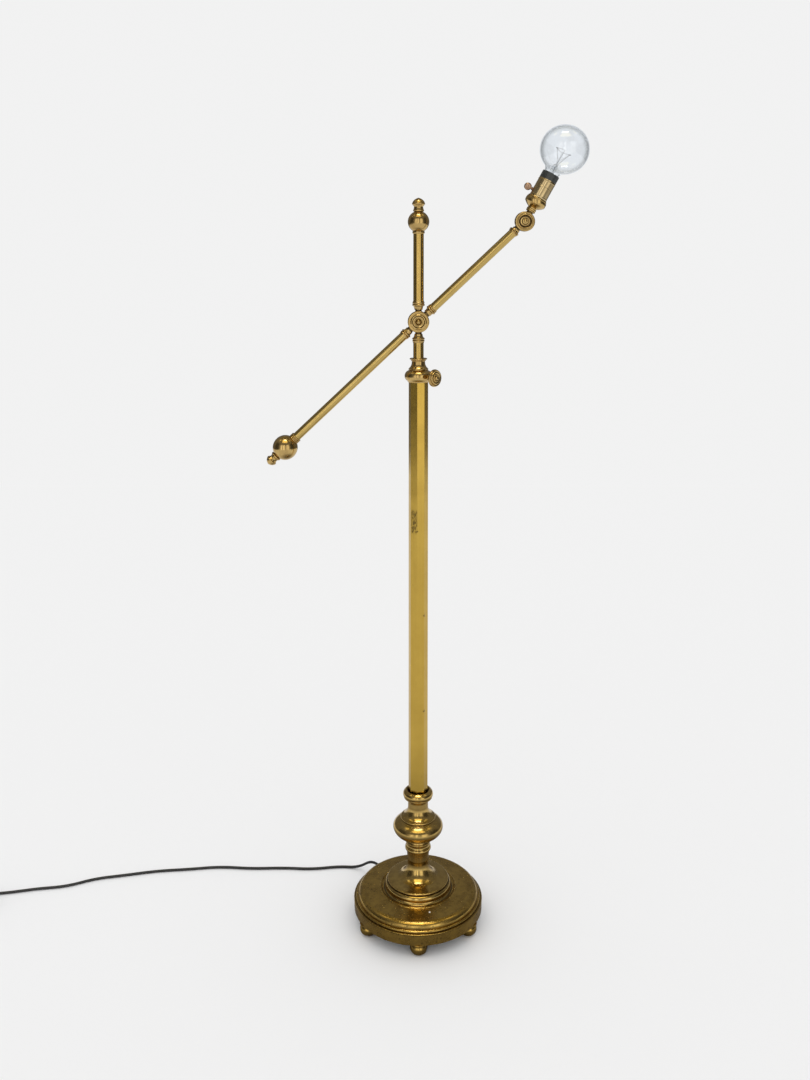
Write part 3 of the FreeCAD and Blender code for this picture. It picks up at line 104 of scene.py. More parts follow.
def apply_modifier(piece: bpy.types.Object, kind: str, **settings: object) -> None:
    """Adds one modifier, sets it and applies it.

    Args:
        piece: The object that is finished.
        kind: The modifier's type.
        **settings: The modifier's values by name.
    """
    choose(piece)
    modifier = piece.modifiers.new(kind.lower(), kind)
    for name, value in settings.items():
        setattr(modifier, name, value)
    bpy.ops.object.modifier_apply(modifier=modifier.name)


def smooth(piece: bpy.types.Object, degrees: float = 35.0) -> None:
    """Shades an object smooth, with crisp edges above an angle."""
    choose(piece)
    bpy.ops.object.shade_smooth_by_angle(angle=math.radians(degrees))


def tidy_mesh(piece: bpy.types.Object, gap: float = 1e-6) -> None:
    """Merges doubled points and turns all faces outwards."""
    choose(piece)
    bpy.ops.object.mode_set(mode="EDIT")
    bpy.ops.mesh.select_all(action="SELECT")
    bpy.ops.mesh.remove_doubles(threshold=gap)
    bpy.ops.mesh.normals_make_consistent(inside=False)
    bpy.ops.object.mode_set(mode="OBJECT")


def join(pieces: list[bpy.types.Object], name: str) -> bpy.types.Object:
    """Joins meshes into one object.

    Args:
        pieces: The objects, of which the first one stays.
        name: The joined object's name.

    Returns:
        The joined object.
    """
    deselect()
    for piece in pieces:
        piece.select_set(True)
    bpy.context.view_layer.objects.active = pieces[0]
    bpy.ops.object.join()
    return rename(bpy.context.view_layer.objects.active, name)


@dataclass
class Fitting:
    """How one finished piece belongs to the lamp."""

    body: str
    slot: str
    replaces: tuple[str, ...] = ()

    def settle(self, piece: bpy.types.Object) -> bpy.types.Object:
        """Makes a piece ride on its body and stand for its nodes.

        Args:
            piece: The finished object.

        Returns:
            The same object.
        """
        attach(piece, self.body)
        if self.replaces:
            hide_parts(*self.replaces)
        LOG.info("%s rides on %s", piece.name, self.body)
        return piece


@dataclass
class Outline:
    """Rings of a turned piece, as radii and heights, from one end to the other."""

    rings: list[tuple[float, float]] = field(default_factory=list)

    def line(self, radius: float, height: float) -> "Outline":
        """Adds one ring, in millimetres, and returns the outline."""
        self.rings.append((radius / 1000, height / 1000))
        return self

    def bow(self, radius: float, height: float, rise: float, steps: int = 6) -> "Outline":
        """Adds an arc to a ring.

        Args:
            radius: Radius of the arc's last ring, in millimetres.
            height: Height of that ring.
            rise: How far the arc's middle stands out to the right of the way.
            steps: How many rings the arc has.

        Returns:
            The outline.
        """
        start = Vector(self.rings[-1]) * 1000
        end = Vector((radius, height))
        chord = end - start
        side = Vector((chord.y, -chord.x)).normalized()
        for step in range(1, steps + 1):
            share = step / steps
            out = 4 * rise * share * (1 - share)
            point = start + chord * share + side * out
            self.line(point.x, point.y)
        return self


@dataclass(frozen=True)
class Place:
    """Where a piece made upright at the origin goes."""

    origin: Point = (0.0, 0.0, 0.0)
    side: Side = Side.UP
    lean: float = 0.0
    turn: float = 0.0

    def put(self, piece: bpy.types.Object) -> None:
        """Turns a piece to its side, leans it about Y, turns it about Z and moves it.

        Args:
            piece: The object, whose place then goes into its mesh.
        """
        axis, degrees = self.side.value
        way = Matrix.Rotation(math.radians(self.turn), 4, "Z")
        way = way @ Matrix.Rotation(math.radians(self.lean), 4, "Y")
        way = way @ Matrix.Rotation(math.radians(degrees), 4, axis)
        piece.matrix_world = Matrix.Translation(self.origin) @ way
        apply_place(piece)


# Pieces of the lamp holder are made upright, with the elbow at the origin.
HEAD_PLACE = Place(ELBOW, Side.UP, HEAD_LEAN)


def turned(name: str, outline: Outline, place: Place, around: int = 64,
           closed: bool = False) -> bpy.types.Object:
    """Models a turned piece: a ring of edges, extruded and resized ring by ring.

    Args:
        name: The piece's name.
        outline: Its rings, from the first end to the last.
        place: Where it goes.
        around: How many points each ring has.
        closed: Whether the last ring joins the first, as in a hollow piece.

    Returns:
        The finished object at the origin.
    """
    deselect()
    (radius, height), *rest = outline.rings
    bpy.ops.mesh.primitive_circle_add(vertices=around, radius=max(radius, 1e-5),
                                      location=(0, 0, height), fill_type="NOTHING")
    piece = rename(bpy.context.active_object, name)
    apply_place(piece)
    bpy.ops.object.mode_set(mode="EDIT")
    bpy.ops.mesh.select_all(action="SELECT")
    here = max(radius, 1e-5)
    for radius, height_next in rest:
        there = max(radius, 1e-5)
        bpy.ops.mesh.extrude_edges_move(
            TRANSFORM_OT_translate={"value": (0, 0, height_next - height)})
        share = there / here
        bpy.ops.transform.resize(value=(share, share, 1),
                                 center_override=(0, 0, height_next))
        here = there
        height = height_next
    if closed:
        bpy.ops.mesh.select_all(action="DESELECT")
        bpy.ops.mesh.select_non_manifold(extend=False)
        bpy.ops.mesh.bridge_edge_loops()
    bpy.ops.object.mode_set(mode="OBJECT")
    tidy_mesh(piece, 2.5e-5)
    place.put(piece)
    smooth(piece)
    return piece


# ------------------------------------------------------------------ node tools
Feed = object


class NodeSheet:
    """Adds nodes to one tree and links them, so that each finish reads as a list."""

    def __init__(self, tree: bpy.types.NodeTree) -> None:
        """Starts on a tree.

        Args:
            tree: The node tree of a material, group or world.
        """
        self.tree = tree

    def add(self, kind: str, **settings: object) -> bpy.types.Node:
        """Adds a node and sets its properties by name.

        Args:
            kind: The node's type.
            **settings: Properties, such as operation.

        Returns:
            The node.
        """
        node = self.tree.nodes.new(kind)
        for name, value in settings.items():
            setattr(node, name, value)
        return node

    def feed(self, node: bpy.types.Node, **values: Feed) -> bpy.types.Node:
        """Sets or links a node's inputs.

        Args:
            node: The node.
            **values: Inputs by name, with _ for a space, or by place as i0, i1.

        Returns:
            The same node.
        """
        for name, value in values.items():
            place = name[1:]
            key = int(place) if name[0] == "i" and place.isdigit() else name.replace("_", " ")
            if isinstance(value, bpy.types.NodeSocket):
                self.tree.links.new(value, node.inputs[key])
            else:
                node.inputs[key].default_value = value
        return node

    def math(self, operation: str, *values: Feed) -> bpy.types.NodeSocket:
        """Adds a Math node.

        Args:
            operation: Its operation.
            *values: Its inputs, numbers or sockets.

        Returns:
            Its output.
        """
        node = self.add("ShaderNodeMath", operation=operation)
        inputs = {"i%d" % place: value for place, value in enumerate(values)}
        return self.feed(node, **inputs).outputs[0]

    def ramp(self, value: Feed, low: Feed, high: Feed, to_low: Feed = 0.0,
             to_high: Feed = 1.0) -> bpy.types.NodeSocket:
        """Adds a smooth Map Range node from low..high to to_low..to_high.

        Args:
            value: What is mapped.
            low: Where the ramp starts.
            high: Where it ends.
            to_low: What it gives at its start.
            to_high: What it gives at its end.

        Returns:
            Its output.
        """
        node = self.add("ShaderNodeMapRange", interpolation_type="SMOOTHSTEP")
        self.feed(node, i0=value, i1=low, i2=high, i3=to_low, i4=to_high)
        return node.outputs[0]

    def noise(self, vector: Feed, scale: Feed, detail: float = 3.0,
              roughness: float = 0.55) -> bpy.types.NodeSocket:
        """Adds a Noise Texture and returns its value."""
        node = self.add("ShaderNodeTexNoise")
        self.feed(node, Vector=vector, Scale=scale, Detail=detail, Roughness=roughness)
        return node.outputs[0]

    def stretched(self, vector: Feed, scale: Point,
                  turn: Point = (0.0, 0.0, 0.0)) -> bpy.types.NodeSocket:
        """Adds a Mapping node that turns and then stretches a pattern."""
        turned_node = self.add("ShaderNodeMapping", vector_type="TEXTURE")
        self.feed(turned_node, Vector=vector, Rotation=turn)
        node = self.add("ShaderNodeMapping")
        self.feed(node, Vector=turned_node.outputs[0], Scale=scale)
        return node.outputs[0]

    def mix(self, share: Feed, first: Feed, second: Feed) -> bpy.types.NodeSocket:
        """Mixes two colours.

        Args:
            share: How much of the second one shows.
            first: A colour or socket.
            second: A colour or socket.

        Returns:
            The mixed colour.
        """
        node = self.add("ShaderNodeMix", data_type="RGBA")
        for place, value in ((0, share), (6, first), (7, second)):
            if isinstance(value, bpy.types.NodeSocket):
                self.tree.links.new(value, node.inputs[place])
            elif place:
                node.inputs[place].default_value = (*value, 1.0)
            else:
                node.inputs[place].default_value = value
        return node.outputs[2]

    def group(self, name: str, **values: Feed) -> bpy.types.Node:
        """Places a node group and feeds it.

        Args:
            name: The group's name.
            **values: Its inputs by name.

        Returns:
            The group's node.
        """
        node = self.add("ShaderNodeGroup")
        node.node_tree = bpy.data.node_groups[name]
        return self.feed(node, **values)


class Effect:
    """A node group that several finishes use, with named inputs and outputs."""

    def __init__(self, name: str, output: str, **inputs: float) -> None:
        """Makes the empty group.

        Args:
            name: The group's name.
            output: Its output's name.
            **inputs: Its inputs after the vector, with the values they start at.
        """
        tree = bpy.data.node_groups.new(name, "ShaderNodeTree")
        tree.interface.new_socket("Vector", in_out="INPUT", socket_type="NodeSocketVector")
        for title, value in inputs.items():
            made = tree.interface.new_socket(title, in_out="INPUT",
                                             socket_type="NodeSocketFloat")
            made.default_value = value
        tree.interface.new_socket(output, in_out="OUTPUT",
                                  socket_type="NodeSocketFloat")
        self.sheet = NodeSheet(tree)
        self.start = tree.nodes.new("NodeGroupInput")
        self.end = tree.nodes.new("NodeGroupOutput")

    def give(self, name: str) -> bpy.types.NodeSocket:
        """Returns one of the group's inputs, as a socket inside it."""
        return self.start.outputs[name]

    def take(self, name: str, socket: bpy.types.NodeSocket) -> None:
        """Links a socket inside the group to one of its outputs."""
        self.sheet.tree.links.new(socket, self.end.inputs[name])


def build_effects() -> None:
    """Builds the node groups that the finishes share."""
    # Clouds of tarnish, large and small.
    clouds = Effect("tarnish_clouds", "Mask", Scale=20.0, Softness=0.12, Amount=0.5)
    sheet = clouds.sheet
    large = sheet.noise(clouds.give("Vector"), clouds.give("Scale"), 5.0, 0.6)
    fine_scale = sheet.math("MULTIPLY", clouds.give("Scale"), 4.3)
    fine = sheet.noise(clouds.give("Vector"), fine_scale, 3.0, 0.55)
    both = sheet.math("MULTIPLY_ADD", fine, 0.35, sheet.math("MULTIPLY", large, 0.65))
    low = sheet.math("SUBTRACT", 0.5, clouds.give("Softness"))
    high = sheet.math("ADD", 0.5, clouds.give("Softness"))
    clouds.take("Mask", sheet.ramp(both, low, high, 0.0, clouds.give("Amount")))

    # Small round spots, only in some of the cells.
    spots = Effect("scattered_spots", "Mask", Scale=80.0, Size=0.2, Share=0.2)
    sheet = spots.sheet
    cells = sheet.add("ShaderNodeTexVoronoi")
    warped = sheet.add("ShaderNodeVectorMath", operation="ADD")
    wobble = sheet.add("ShaderNodeTexNoise")
    sheet.feed(wobble, Vector=spots.give("Vector"), Scale=160.0, Detail=2.0)
    small = sheet.add("ShaderNodeVectorMath", operation="SCALE")
    sheet.feed(small, i0=wobble.outputs[1], Scale=0.004)
    sheet.feed(warped, i0=spots.give("Vector"), i1=small.outputs[0])
    sheet.feed(cells, Vector=warped.outputs[0], Scale=spots.give("Scale"), Randomness=1.0)
    parts = sheet.add("ShaderNodeSeparateColor")
    sheet.feed(parts, i0=cells.outputs["Color"])
    inner = sheet.math("MULTIPLY", spots.give("Size"), 0.55)
    dot = sheet.ramp(cells.outputs["Distance"], inner, spots.give("Size"), 1.0, 0.0)
    chosen = sheet.math("LESS_THAN", parts.outputs[0], spots.give("Share"))
    spots.take("Mask", sheet.math("MULTIPLY", dot, chosen))

    # Long fine lines from drawing, turning or polishing.
    lines = Effect("fine_lines", "Value", Contrast=1.0)
    sheet = lines.sheet
    wide = sheet.noise(lines.give("Vector"), 1.0, 2.0, 0.5)
    close = sheet.noise(lines.give("Vector"), 3.1, 3.0, 0.6)
    both = sheet.math("MULTIPLY_ADD", close, 0.5, sheet.math("MULTIPLY", wide, 0.5))
    middle = sheet.math("SUBTRACT", both, 0.5)
    lines.take("Value", sheet.math("MULTIPLY_ADD", middle, lines.give("Contrast"), 0.5))

    # Dark grime and painted shade in a turned groove at one height.
    groove = Effect("groove_grime_and_shade", "Mask", Height=0.0, Width=0.001)
    sheet = groove.sheet
    axes = sheet.add("ShaderNodeSeparateXYZ")
    sheet.feed(axes, i0=groove.give("Vector"))
    away = sheet.math("ABSOLUTE", sheet.math("SUBTRACT", axes.outputs[2],
                                             groove.give("Height")))
    groove.take("Mask", sheet.ramp(away, 0.0, groove.give("Width"), 1.0, 0.0))

    # Dark grime and painted shade in a ring round an axle that runs front to back: the shade
    # in the gap between a knuckle's disc and its cups, and in the caps' grooves.
    ring = Effect("ring_grime_and_shade", "Mask", Radius=0.02, Width=0.002)
    sheet = ring.sheet
    axes = sheet.add("ShaderNodeSeparateXYZ")
    sheet.feed(axes, i0=ring.give("Vector"))
    flat = sheet.add("ShaderNodeCombineXYZ")
    sheet.feed(flat, i0=axes.outputs[0], i2=axes.outputs[2])
    size = sheet.add("ShaderNodeVectorMath", operation="LENGTH")
    sheet.feed(size, i0=flat.outputs[0])
    away = sheet.math("ABSOLUTE", sheet.math("SUBTRACT", size.outputs["Value"],
                                             ring.give("Radius")))
    half = sheet.math("MULTIPLY", ring.give("Width"), 0.6)
    ring.take("Mask", sheet.ramp(away, half, ring.give("Width"), 1.0, 0.0))


# ------------------------------------------------------------------ finishes
# How much of the metal's colour grooves, rings and spots hide where they are darkest; grooves
# and rings hold grime and painted shade.
GROOVE_SHARE = 0.85
RING_SHARE = 0.9
SPOT_SHARE = 0.8
DUST_COLOUR: Colour = (0.85, 0.82, 0.76)


def blank_material(name: str) -> tuple[bpy.types.Material, NodeSheet, bpy.types.Node]:
    """Makes a material with only a Principled BSDF.

    Args:
        name: The material's name.

    Returns:
        The material, its node sheet and the Principled BSDF.
    """
    material = bpy.data.materials.new("lamp_" + name)
    material.use_nodes = True
    sheet = NodeSheet(material.node_tree)
    shader = material.node_tree.nodes["Principled BSDF"]
    return material, sheet, shader


def finish(name: str) -> bpy.types.Material:
    """Returns the finish of a name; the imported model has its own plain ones."""
    return bpy.data.materials["lamp_" + name]


@dataclass(frozen=True)
class Groove:
    """A groove darkened by grime and painted shade: its height in the finish's own frame and
    its half width.
    """

    height: float
    width: float = 0.0012


@dataclass(frozen=True)
class Ring:
    """Grime and painted shade in a ring round an axle: the axle's place, radius and half
    width.
    """

    middle: Point
    radius: float
    width: float


@dataclass(frozen=True)
class Mark:
    """A dark worn mark on the front of a piece: its middle and half sizes."""

    middle: Point
    half: Point


@dataclass(frozen=True)
class AgedBrass:
    """Old brass with tarnish, fine lines, shallow dents, spots, and grime with painted shade
    in grooves and rings.
    """

    name: str
    colour: Colour = (0.62, 0.40, 0.075)
    deep: Colour = (0.34, 0.20, 0.035)
    roughness: float = 0.14
    roughness_spread: float = 0.08
    cloud_scale: float = 22.0
    cloud_amount: float = 0.5
    cloud_softness: float = 0.12
    # Dark colour of the spots, and of the grime and painted shade in grooves and rings.
    grime_and_shade_colour: Colour = (0.06, 0.04, 0.02)
    spot_scale: float = 90.0
    spot_size: float = 0.14
    spot_share: float = 0.03
    line_scale: Point = (450.0, 450.0, 6.0)
    dent_scale: float = 45.0
    dent_height: float = 0.00008
    lean: float = 0.0
    foot: Point = (0.0, 0.0, 0.0)
    grooves: tuple[Groove, ...] = ()
    rings: tuple[Ring, ...] = ()
    marks: tuple[Mark, ...] = ()
    dust_share: float = 0.0
    dust_scale: float = 45.0

    def build(self) -> bpy.types.Material:
        """Builds the material.

        Returns:
            The material.
        """
        material, sheet, shader = blank_material(self.name)
        coordinates = sheet.add("ShaderNodeTexCoord").outputs["Object"]
        own = sheet.add("ShaderNodeMapping", vector_type="TEXTURE")
        sheet.feed(own, Vector=coordinates, Location=self.foot,
                   Rotation=(0.0, math.radians(self.lean), 0.0))
        place = own.outputs[0]
        clouds = sheet.group("tarnish_clouds", Vector=place, Scale=self.cloud_scale,
                             Softness=self.cloud_softness, Amount=self.cloud_amount)
        spots = sheet.group("scattered_spots", Vector=place, Scale=self.spot_scale,
                            Size=self.spot_size, Share=self.spot_share)
        lines = sheet.group("fine_lines", Vector=sheet.stretched(place, self.line_scale),
                            Contrast=1.6)
        colour = sheet.mix(clouds.outputs[0], self.colour, self.deep)
        fade = sheet.ramp(lines.outputs[0], 0.2, 0.8, 0.0, 0.25)
        colour = sheet.mix(fade, colour, self.deep)
        # Grooves and rings are darkened by grime and by painted shade.
        for groove in self.grooves:
            grime_and_shade = sheet.group("groove_grime_and_shade", Vector=place, Height=groove.height,
                                Width=groove.width)
            share = sheet.math("MULTIPLY", grime_and_shade.outputs[0], GROOVE_SHARE)
            colour = sheet.mix(share, colour, self.grime_and_shade_colour)
        # Rings of grime and painted shade round the knuckles' axles.
        for ring in self.rings:
            shifted = sheet.add("ShaderNodeVectorMath", operation="SUBTRACT")
            sheet.feed(shifted, i0=coordinates, i1=ring.middle)
            grime_and_shade = sheet.group("ring_grime_and_shade", Vector=shifted.outputs[0],
                                Radius=ring.radius, Width=ring.width)
            share = sheet.math("MULTIPLY", grime_and_shade.outputs[0], RING_SHARE)
            colour = sheet.mix(share, colour, self.grime_and_shade_colour)
        for mark in self.marks:
            colour = sheet.mix(self.worn(sheet, place, mark), colour, self.grime_and_shade_colour)
        share = sheet.math("MULTIPLY", spots.outputs[0], SPOT_SHARE)
        colour = sheet.mix(share, colour, self.grime_and_shade_colour)
        rough = sheet.ramp(clouds.outputs[0], 0.0, self.cloud_amount, self.roughness,
                           self.roughness + self.roughness_spread)
        rough = sheet.math("MULTIPLY_ADD", lines.outputs[0], 0.06, rough)
        metal = 1.0
        if self.dust_share > 0:
            dust = sheet.group("scattered_spots", Vector=place, Scale=self.dust_scale,
                               Size=0.1, Share=self.dust_share)
            colour = sheet.mix(dust.outputs[0], colour, DUST_COLOUR)
            rough = sheet.math("MULTIPLY_ADD", dust.outputs[0], 0.5, rough)
            metal = sheet.math("SUBTRACT", 1.0, dust.outputs[0])
        sheet.feed(shader, Base_Color=colour, Roughness=rough, Metallic=metal)
        bump = sheet.add("ShaderNodeBump")
        dents = sheet.noise(place, self.dent_scale, 1.0)
        sheet.feed(bump, Strength=1.0, Distance=self.dent_height, Height=dents)
        sheet.feed(shader, Normal=bump.outputs[0])
        return material

    @staticmethod
    def worn(sheet: NodeSheet, place: bpy.types.NodeSocket,
             mark: Mark) -> bpy.types.NodeSocket:
        """Masks one worn mark, broken up by noise.

        Args:
            sheet: The material's nodes.
            place: The coordinates.
            mark: The mark.

        Returns:
            The mask.
        """
        shifted = sheet.add("ShaderNodeVectorMath", operation="SUBTRACT")
        sheet.feed(shifted, i0=place, i1=mark.middle)
        scaled = sheet.add("ShaderNodeVectorMath", operation="DIVIDE")
        sheet.feed(scaled, i0=shifted.outputs[0], i1=mark.half)
        size = sheet.add("ShaderNodeVectorMath", operation="ABSOLUTE")
        sheet.feed(size, i0=scaled.outputs[0])
        axes = sheet.add("ShaderNodeSeparateXYZ")
        sheet.feed(axes, i0=size.outputs[0])
        widest = sheet.math("MAXIMUM", axes.outputs[0], axes.outputs[2])
        widest = sheet.math("MAXIMUM", widest, axes.outputs[1])
        inside = sheet.ramp(widest, 0.75, 1.0, 1.0, 0.0)
        patches = sheet.noise(place, 420.0, 4.0, 0.7)
        broken = sheet.ramp(patches, 0.44, 0.56, 0.0, 0.85)
        return sheet.math("MULTIPLY", inside, broken)


@dataclass(frozen=True)
class PlainMetal:
    """Bare metal such as zinc plate, wire or cast iron, with a fine grain."""

    name: str
    colour: Colour
    roughness: float
    grain: float = 900.0
    metallic: float = 1.0

    def build(self) -> bpy.types.Material:
        """Builds the material and returns it."""
        material, sheet, shader = blank_material(self.name)
        place = sheet.add("ShaderNodeTexCoord").outputs["Object"]
        clouds = sheet.group("tarnish_clouds", Vector=place, Scale=self.grain / 12,
                             Softness=0.2, Amount=0.4)
        darker = tuple(value * 0.6 for value in self.colour)
        grain = sheet.noise(place, self.grain, 2.0)
        bump = sheet.add("ShaderNodeBump")
        sheet.feed(bump, Strength=0.6, Distance=0.00005, Height=grain)
        rough = sheet.ramp(grain, 0.3, 0.7, self.roughness, self.roughness + 0.12)
        sheet.feed(shader, Base_Color=sheet.mix(clouds.outputs[0], self.colour, darker),
                   Roughness=rough, Metallic=self.metallic, Normal=bump.outputs[0])
        return material


@dataclass(frozen=True)
class Moulding:
    """Moulded plastic, fibre or rubber, with a faint uneven sheen."""

    name: str
    colour: Colour
    roughness: float
    sheen_scale: float = 300.0

    def build(self) -> bpy.types.Material:
        """Builds the material and returns it."""
        material, sheet, shader = blank_material(self.name)
        place = sheet.add("ShaderNodeTexCoord").outputs["Object"]
        clouds = sheet.group("tarnish_clouds", Vector=place, Scale=self.sheen_scale / 6,
                             Softness=0.2, Amount=0.5)
        worn = tuple(value * 1.9 + 0.01 for value in self.colour)
        grain = sheet.noise(place, self.sheen_scale * 4, 3.0)
        bump = sheet.add("ShaderNodeBump")
        sheet.feed(bump, Strength=0.5, Distance=0.00006, Height=grain)
        rough = sheet.ramp(clouds.outputs[0], 0.0, 0.5, self.roughness,
                           self.roughness + 0.14)
        sheet.feed(shader, Base_Color=sheet.mix(clouds.outputs[0], self.colour, worn),
                   Roughness=rough, Normal=bump.outputs[0])
        return material


@dataclass(frozen=True)
class ClearGlass:
    """Clear lamp glass, with a painted shade that makes it colder and darker where it turns
    away.
    """

    name: str
    colour: Colour = (0.95, 0.975, 1.0)
    # Colour of the painted shade at the glass's edges.
    edge: Colour = (0.84, 0.90, 0.94)
    roughness: float = 0.0
    thin: float = 0.96

    def build(self) -> bpy.types.Material:
        """Builds the material and returns it."""
        material, sheet, shader = blank_material(self.name)
        place = sheet.add("ShaderNodeTexCoord").outputs["Object"]
        waves = sheet.noise(place, 28.0, 1.0)
        bump = sheet.add("ShaderNodeBump")
        sheet.feed(bump, Strength=0.3, Distance=0.0002, Height=waves)
        facing = sheet.feed(sheet.add("ShaderNodeLayerWeight"), Blend=0.35)
        # Painted shade: the colour turns to the edge colour where the glass turns away from
        # the view.
        painted_edge_shade = sheet.ramp(facing.outputs["Facing"], 0.15, 0.85, 0.0, 1.0)
        sheet.feed(shader, Base_Color=sheet.mix(painted_edge_shade, self.colour, self.edge),
                   Roughness=self.roughness, IOR=1.48, Transmission_Weight=1.0,
                   Normal=bump.outputs[0])
        pale = tuple(math.sqrt(value) for value in self.colour)
        clear = sheet.feed(sheet.add("ShaderNodeBsdfTransparent"), Color=(*pale, 1.0))
        share = sheet.ramp(facing.outputs["Facing"], 0.25, 0.75, 0.0, self.thin)
        both = sheet.feed(sheet.add("ShaderNodeMixShader"), i0=share,
                          i1=shader.outputs[0], i2=clear.outputs[0])
        end = material.node_tree.nodes["Material Output"]
        sheet.feed(end, Surface=both.outputs[0])
        return material


# ------------------------------------------------------------------ camera, studio
@dataclass(frozen=True)
class LampCamera:
    """The camera, level with the pivot's upper half, looking a little down."""

    place: Point = (-0.0245, -1.870, 1.233)
    pitch: float = -4.0
    lens: float = 34.33
    shift: float = -0.190

    def build(self) -> bpy.types.Object:
        """Adds the camera and makes it the scene's.

        Returns:
            The camera.
        """
        deselect()
        turn = (math.radians(90 + self.pitch), 0.0, 0.0)
        bpy.ops.object.camera_add(location=self.place, rotation=turn)
        camera = rename(bpy.context.active_object, "lamp_camera")
        camera.data.sensor_fit = "AUTO"
        camera.data.sensor_width = 36.0
        camera.data.lens = self.lens
        camera.data.shift_y = self.shift
        camera.data.clip_end = 60.0
        bpy.context.scene.camera = camera
        return camera


@dataclass(frozen=True)
class SoftBox:
    """One bright or dark area of the studio, as seen from the lamp.

    Directions are in degrees: across from the front (+ to the lamp's +X side) and up.
    """

    across: float
    up: float
    half_width: float
    half_height: float
    level: float
    edge: float = 6.0


@dataclass(frozen=True)
class Studio:
    """A pale floor in a plain studio, which the metal reflects as soft boxes."""

    pale: float = 0.885
    room: float = 0.21
    floor_size: float = 7.6
    # Colour of the painted shade that the metal sees in the floor close to the base.
    painted_floor_shade: Colour = (0.13, 0.115, 0.09)
    boxes: tuple[SoftBox, ...] = (
        SoftBox(0.0, -8.0, 40.0, 28.0, 0.62, 12.0),
        SoftBox(-80.0, 8.0, 16.0, 22.0, 0.08, 8.0),
        SoftBox(80.0, 8.0, 16.0, 22.0, 0.08, 8.0),
        SoftBox(30.0, -2.0, 10.0, 30.0, 1.35, 5.0),
        SoftBox(-28.0, 4.0, 5.0, 24.0, 1.5, 4.0),
        SoftBox(-6.0, 6.0, 3.0, 24.0, 2.0, 3.0),
        SoftBox(0.0, 66.0, 40.0, 10.0, 2.4, 4.0),
        SoftBox(0.0, 80.0, 60.0, 2.2, 11.0, 1.2),
        SoftBox(-92.0, 58.0, 7.0, 4.0, 1.5, 4.0),
        SoftBox(92.0, 58.0, 7.0, 4.0, 1.5, 4.0),
    )

    def build(self) -> None:
        """Builds the floor and the world."""
        self.lay_floor()
        self.light_room()

    def lay_floor(self) -> None:
        """Lays a pale matt floor, whose mirror image carries a painted shade close to the
        base.
        """
        deselect()
        bpy.ops.mesh.primitive_plane_add(size=self.floor_size, location=(0, 0, 0))
        floor = rename(bpy.context.active_object, "studio_floor")
        material, sheet, shader = blank_material("pale_floor")
        away = sheet.add("ShaderNodeVectorMath", operation="LENGTH")
        sheet.feed(away, i0=sheet.add("ShaderNodeTexCoord").outputs["Object"])
        # Painted shade: the floor turns dark close to the base, but only in the metal's
        # reflections.
        shade_near_base = sheet.ramp(away.outputs["Value"], 0.12, 0.85, 0.85, 0.0)
        rays = sheet.add("ShaderNodeLightPath")
        mirrored = sheet.math("GREATER_THAN", rays.outputs["Glossy Depth"], 0.5)
        colour = sheet.mix(sheet.math("MULTIPLY", shade_near_base, mirrored),
                           (self.pale, self.pale, self.pale), self.painted_floor_shade)
        sheet.feed(shader, Base_Color=colour, Roughness=0.9)
        shader.inputs["Specular IOR Level"].default_value = 0.0
        floor.data.materials.append(material)

    def light_room(self) -> None:
        """Lights the room: plain and level for matt things, soft boxes for gloss."""
        world = bpy.data.worlds.new("studio")
        bpy.context.scene.world = world
        world.use_nodes = True
        world.cycles.sampling_method = "NONE"
        world.node_tree.nodes.clear()
        sheet = NodeSheet(world.node_tree)
        way = sheet.add("ShaderNodeSeparateXYZ")
        sheet.feed(way, i0=sheet.add("ShaderNodeTexCoord").outputs["Generated"])
        front = sheet.math("MULTIPLY", way.outputs[1], -1.0)
        across = sheet.math("DEGREES", sheet.math("ARCTAN2", way.outputs[0], front))
        up = sheet.math("DEGREES", sheet.math("ARCSINE", way.outputs[2]))
        level = sheet.ramp(up, -20.0, 60.0, self.room * 0.75, self.room * 1.2)
        for box in self.boxes:
            level = self.add_box(sheet, across, up, box, level)
        warm = sheet.math("MULTIPLY", sheet.ramp(up, 50.0, 58.0),
                          sheet.ramp(up, 74.0, 78.0, 1.0, 0.0))
        green = sheet.math("MULTIPLY_ADD", warm, -0.12, 0.975)
        blue = sheet.math("MULTIPLY_ADD", warm, -0.50, 0.93)
        colour = sheet.add("ShaderNodeCombineColor")
        sheet.feed(colour, i0=level, i1=sheet.math("MULTIPLY", level, green),
                   i2=sheet.math("MULTIPLY", level, blue))
        rays = sheet.add("ShaderNodeLightPath")
        mirrored = sheet.math("GREATER_THAN", rays.outputs["Glossy Depth"], 0.5)
        seen = sheet.mix(mirrored, (self.pale, self.pale, self.pale), colour.outputs[0])
        seen = sheet.mix(rays.outputs["Is Diffuse Ray"], seen, (1.0, 1.0, 1.0))
        light = sheet.feed(sheet.add("ShaderNodeBackground"), Color=seen, Strength=1.0)
        end = sheet.add("ShaderNodeOutputWorld")
        sheet.feed(end, Surface=light.outputs[0])

    @staticmethod
    def add_box(sheet: NodeSheet, across: Feed, up: Feed, box: SoftBox,
                level: Feed) -> bpy.types.NodeSocket:
        """Blends one area into the room's level.

        Args:
            sheet: The world's nodes.
            across: Degrees across from the front.
            up: Degrees above the horizon.
            box: The area.
            level: The level so far.

        Returns:
            The new level.
        """
        turn = sheet.math("SUBTRACT", across, box.across)
        turn = sheet.math("WRAP", turn, 180.0, -180.0)
        sideways = sheet.ramp(sheet.math("ABSOLUTE", turn), box.half_width,
                              box.half_width + box.edge, 1.0, 0.0)
        rise = sheet.math("ABSOLUTE", sheet.math("SUBTRACT", up, box.up))
        upright = sheet.ramp(rise, box.half_height, box.half_height + box.edge, 1.0, 0.0)
        share = sheet.math("MULTIPLY", sideways, upright)
        gap = sheet.math("SUBTRACT", box.level, level)
        return sheet.math("MULTIPLY_ADD", share, gap, level)


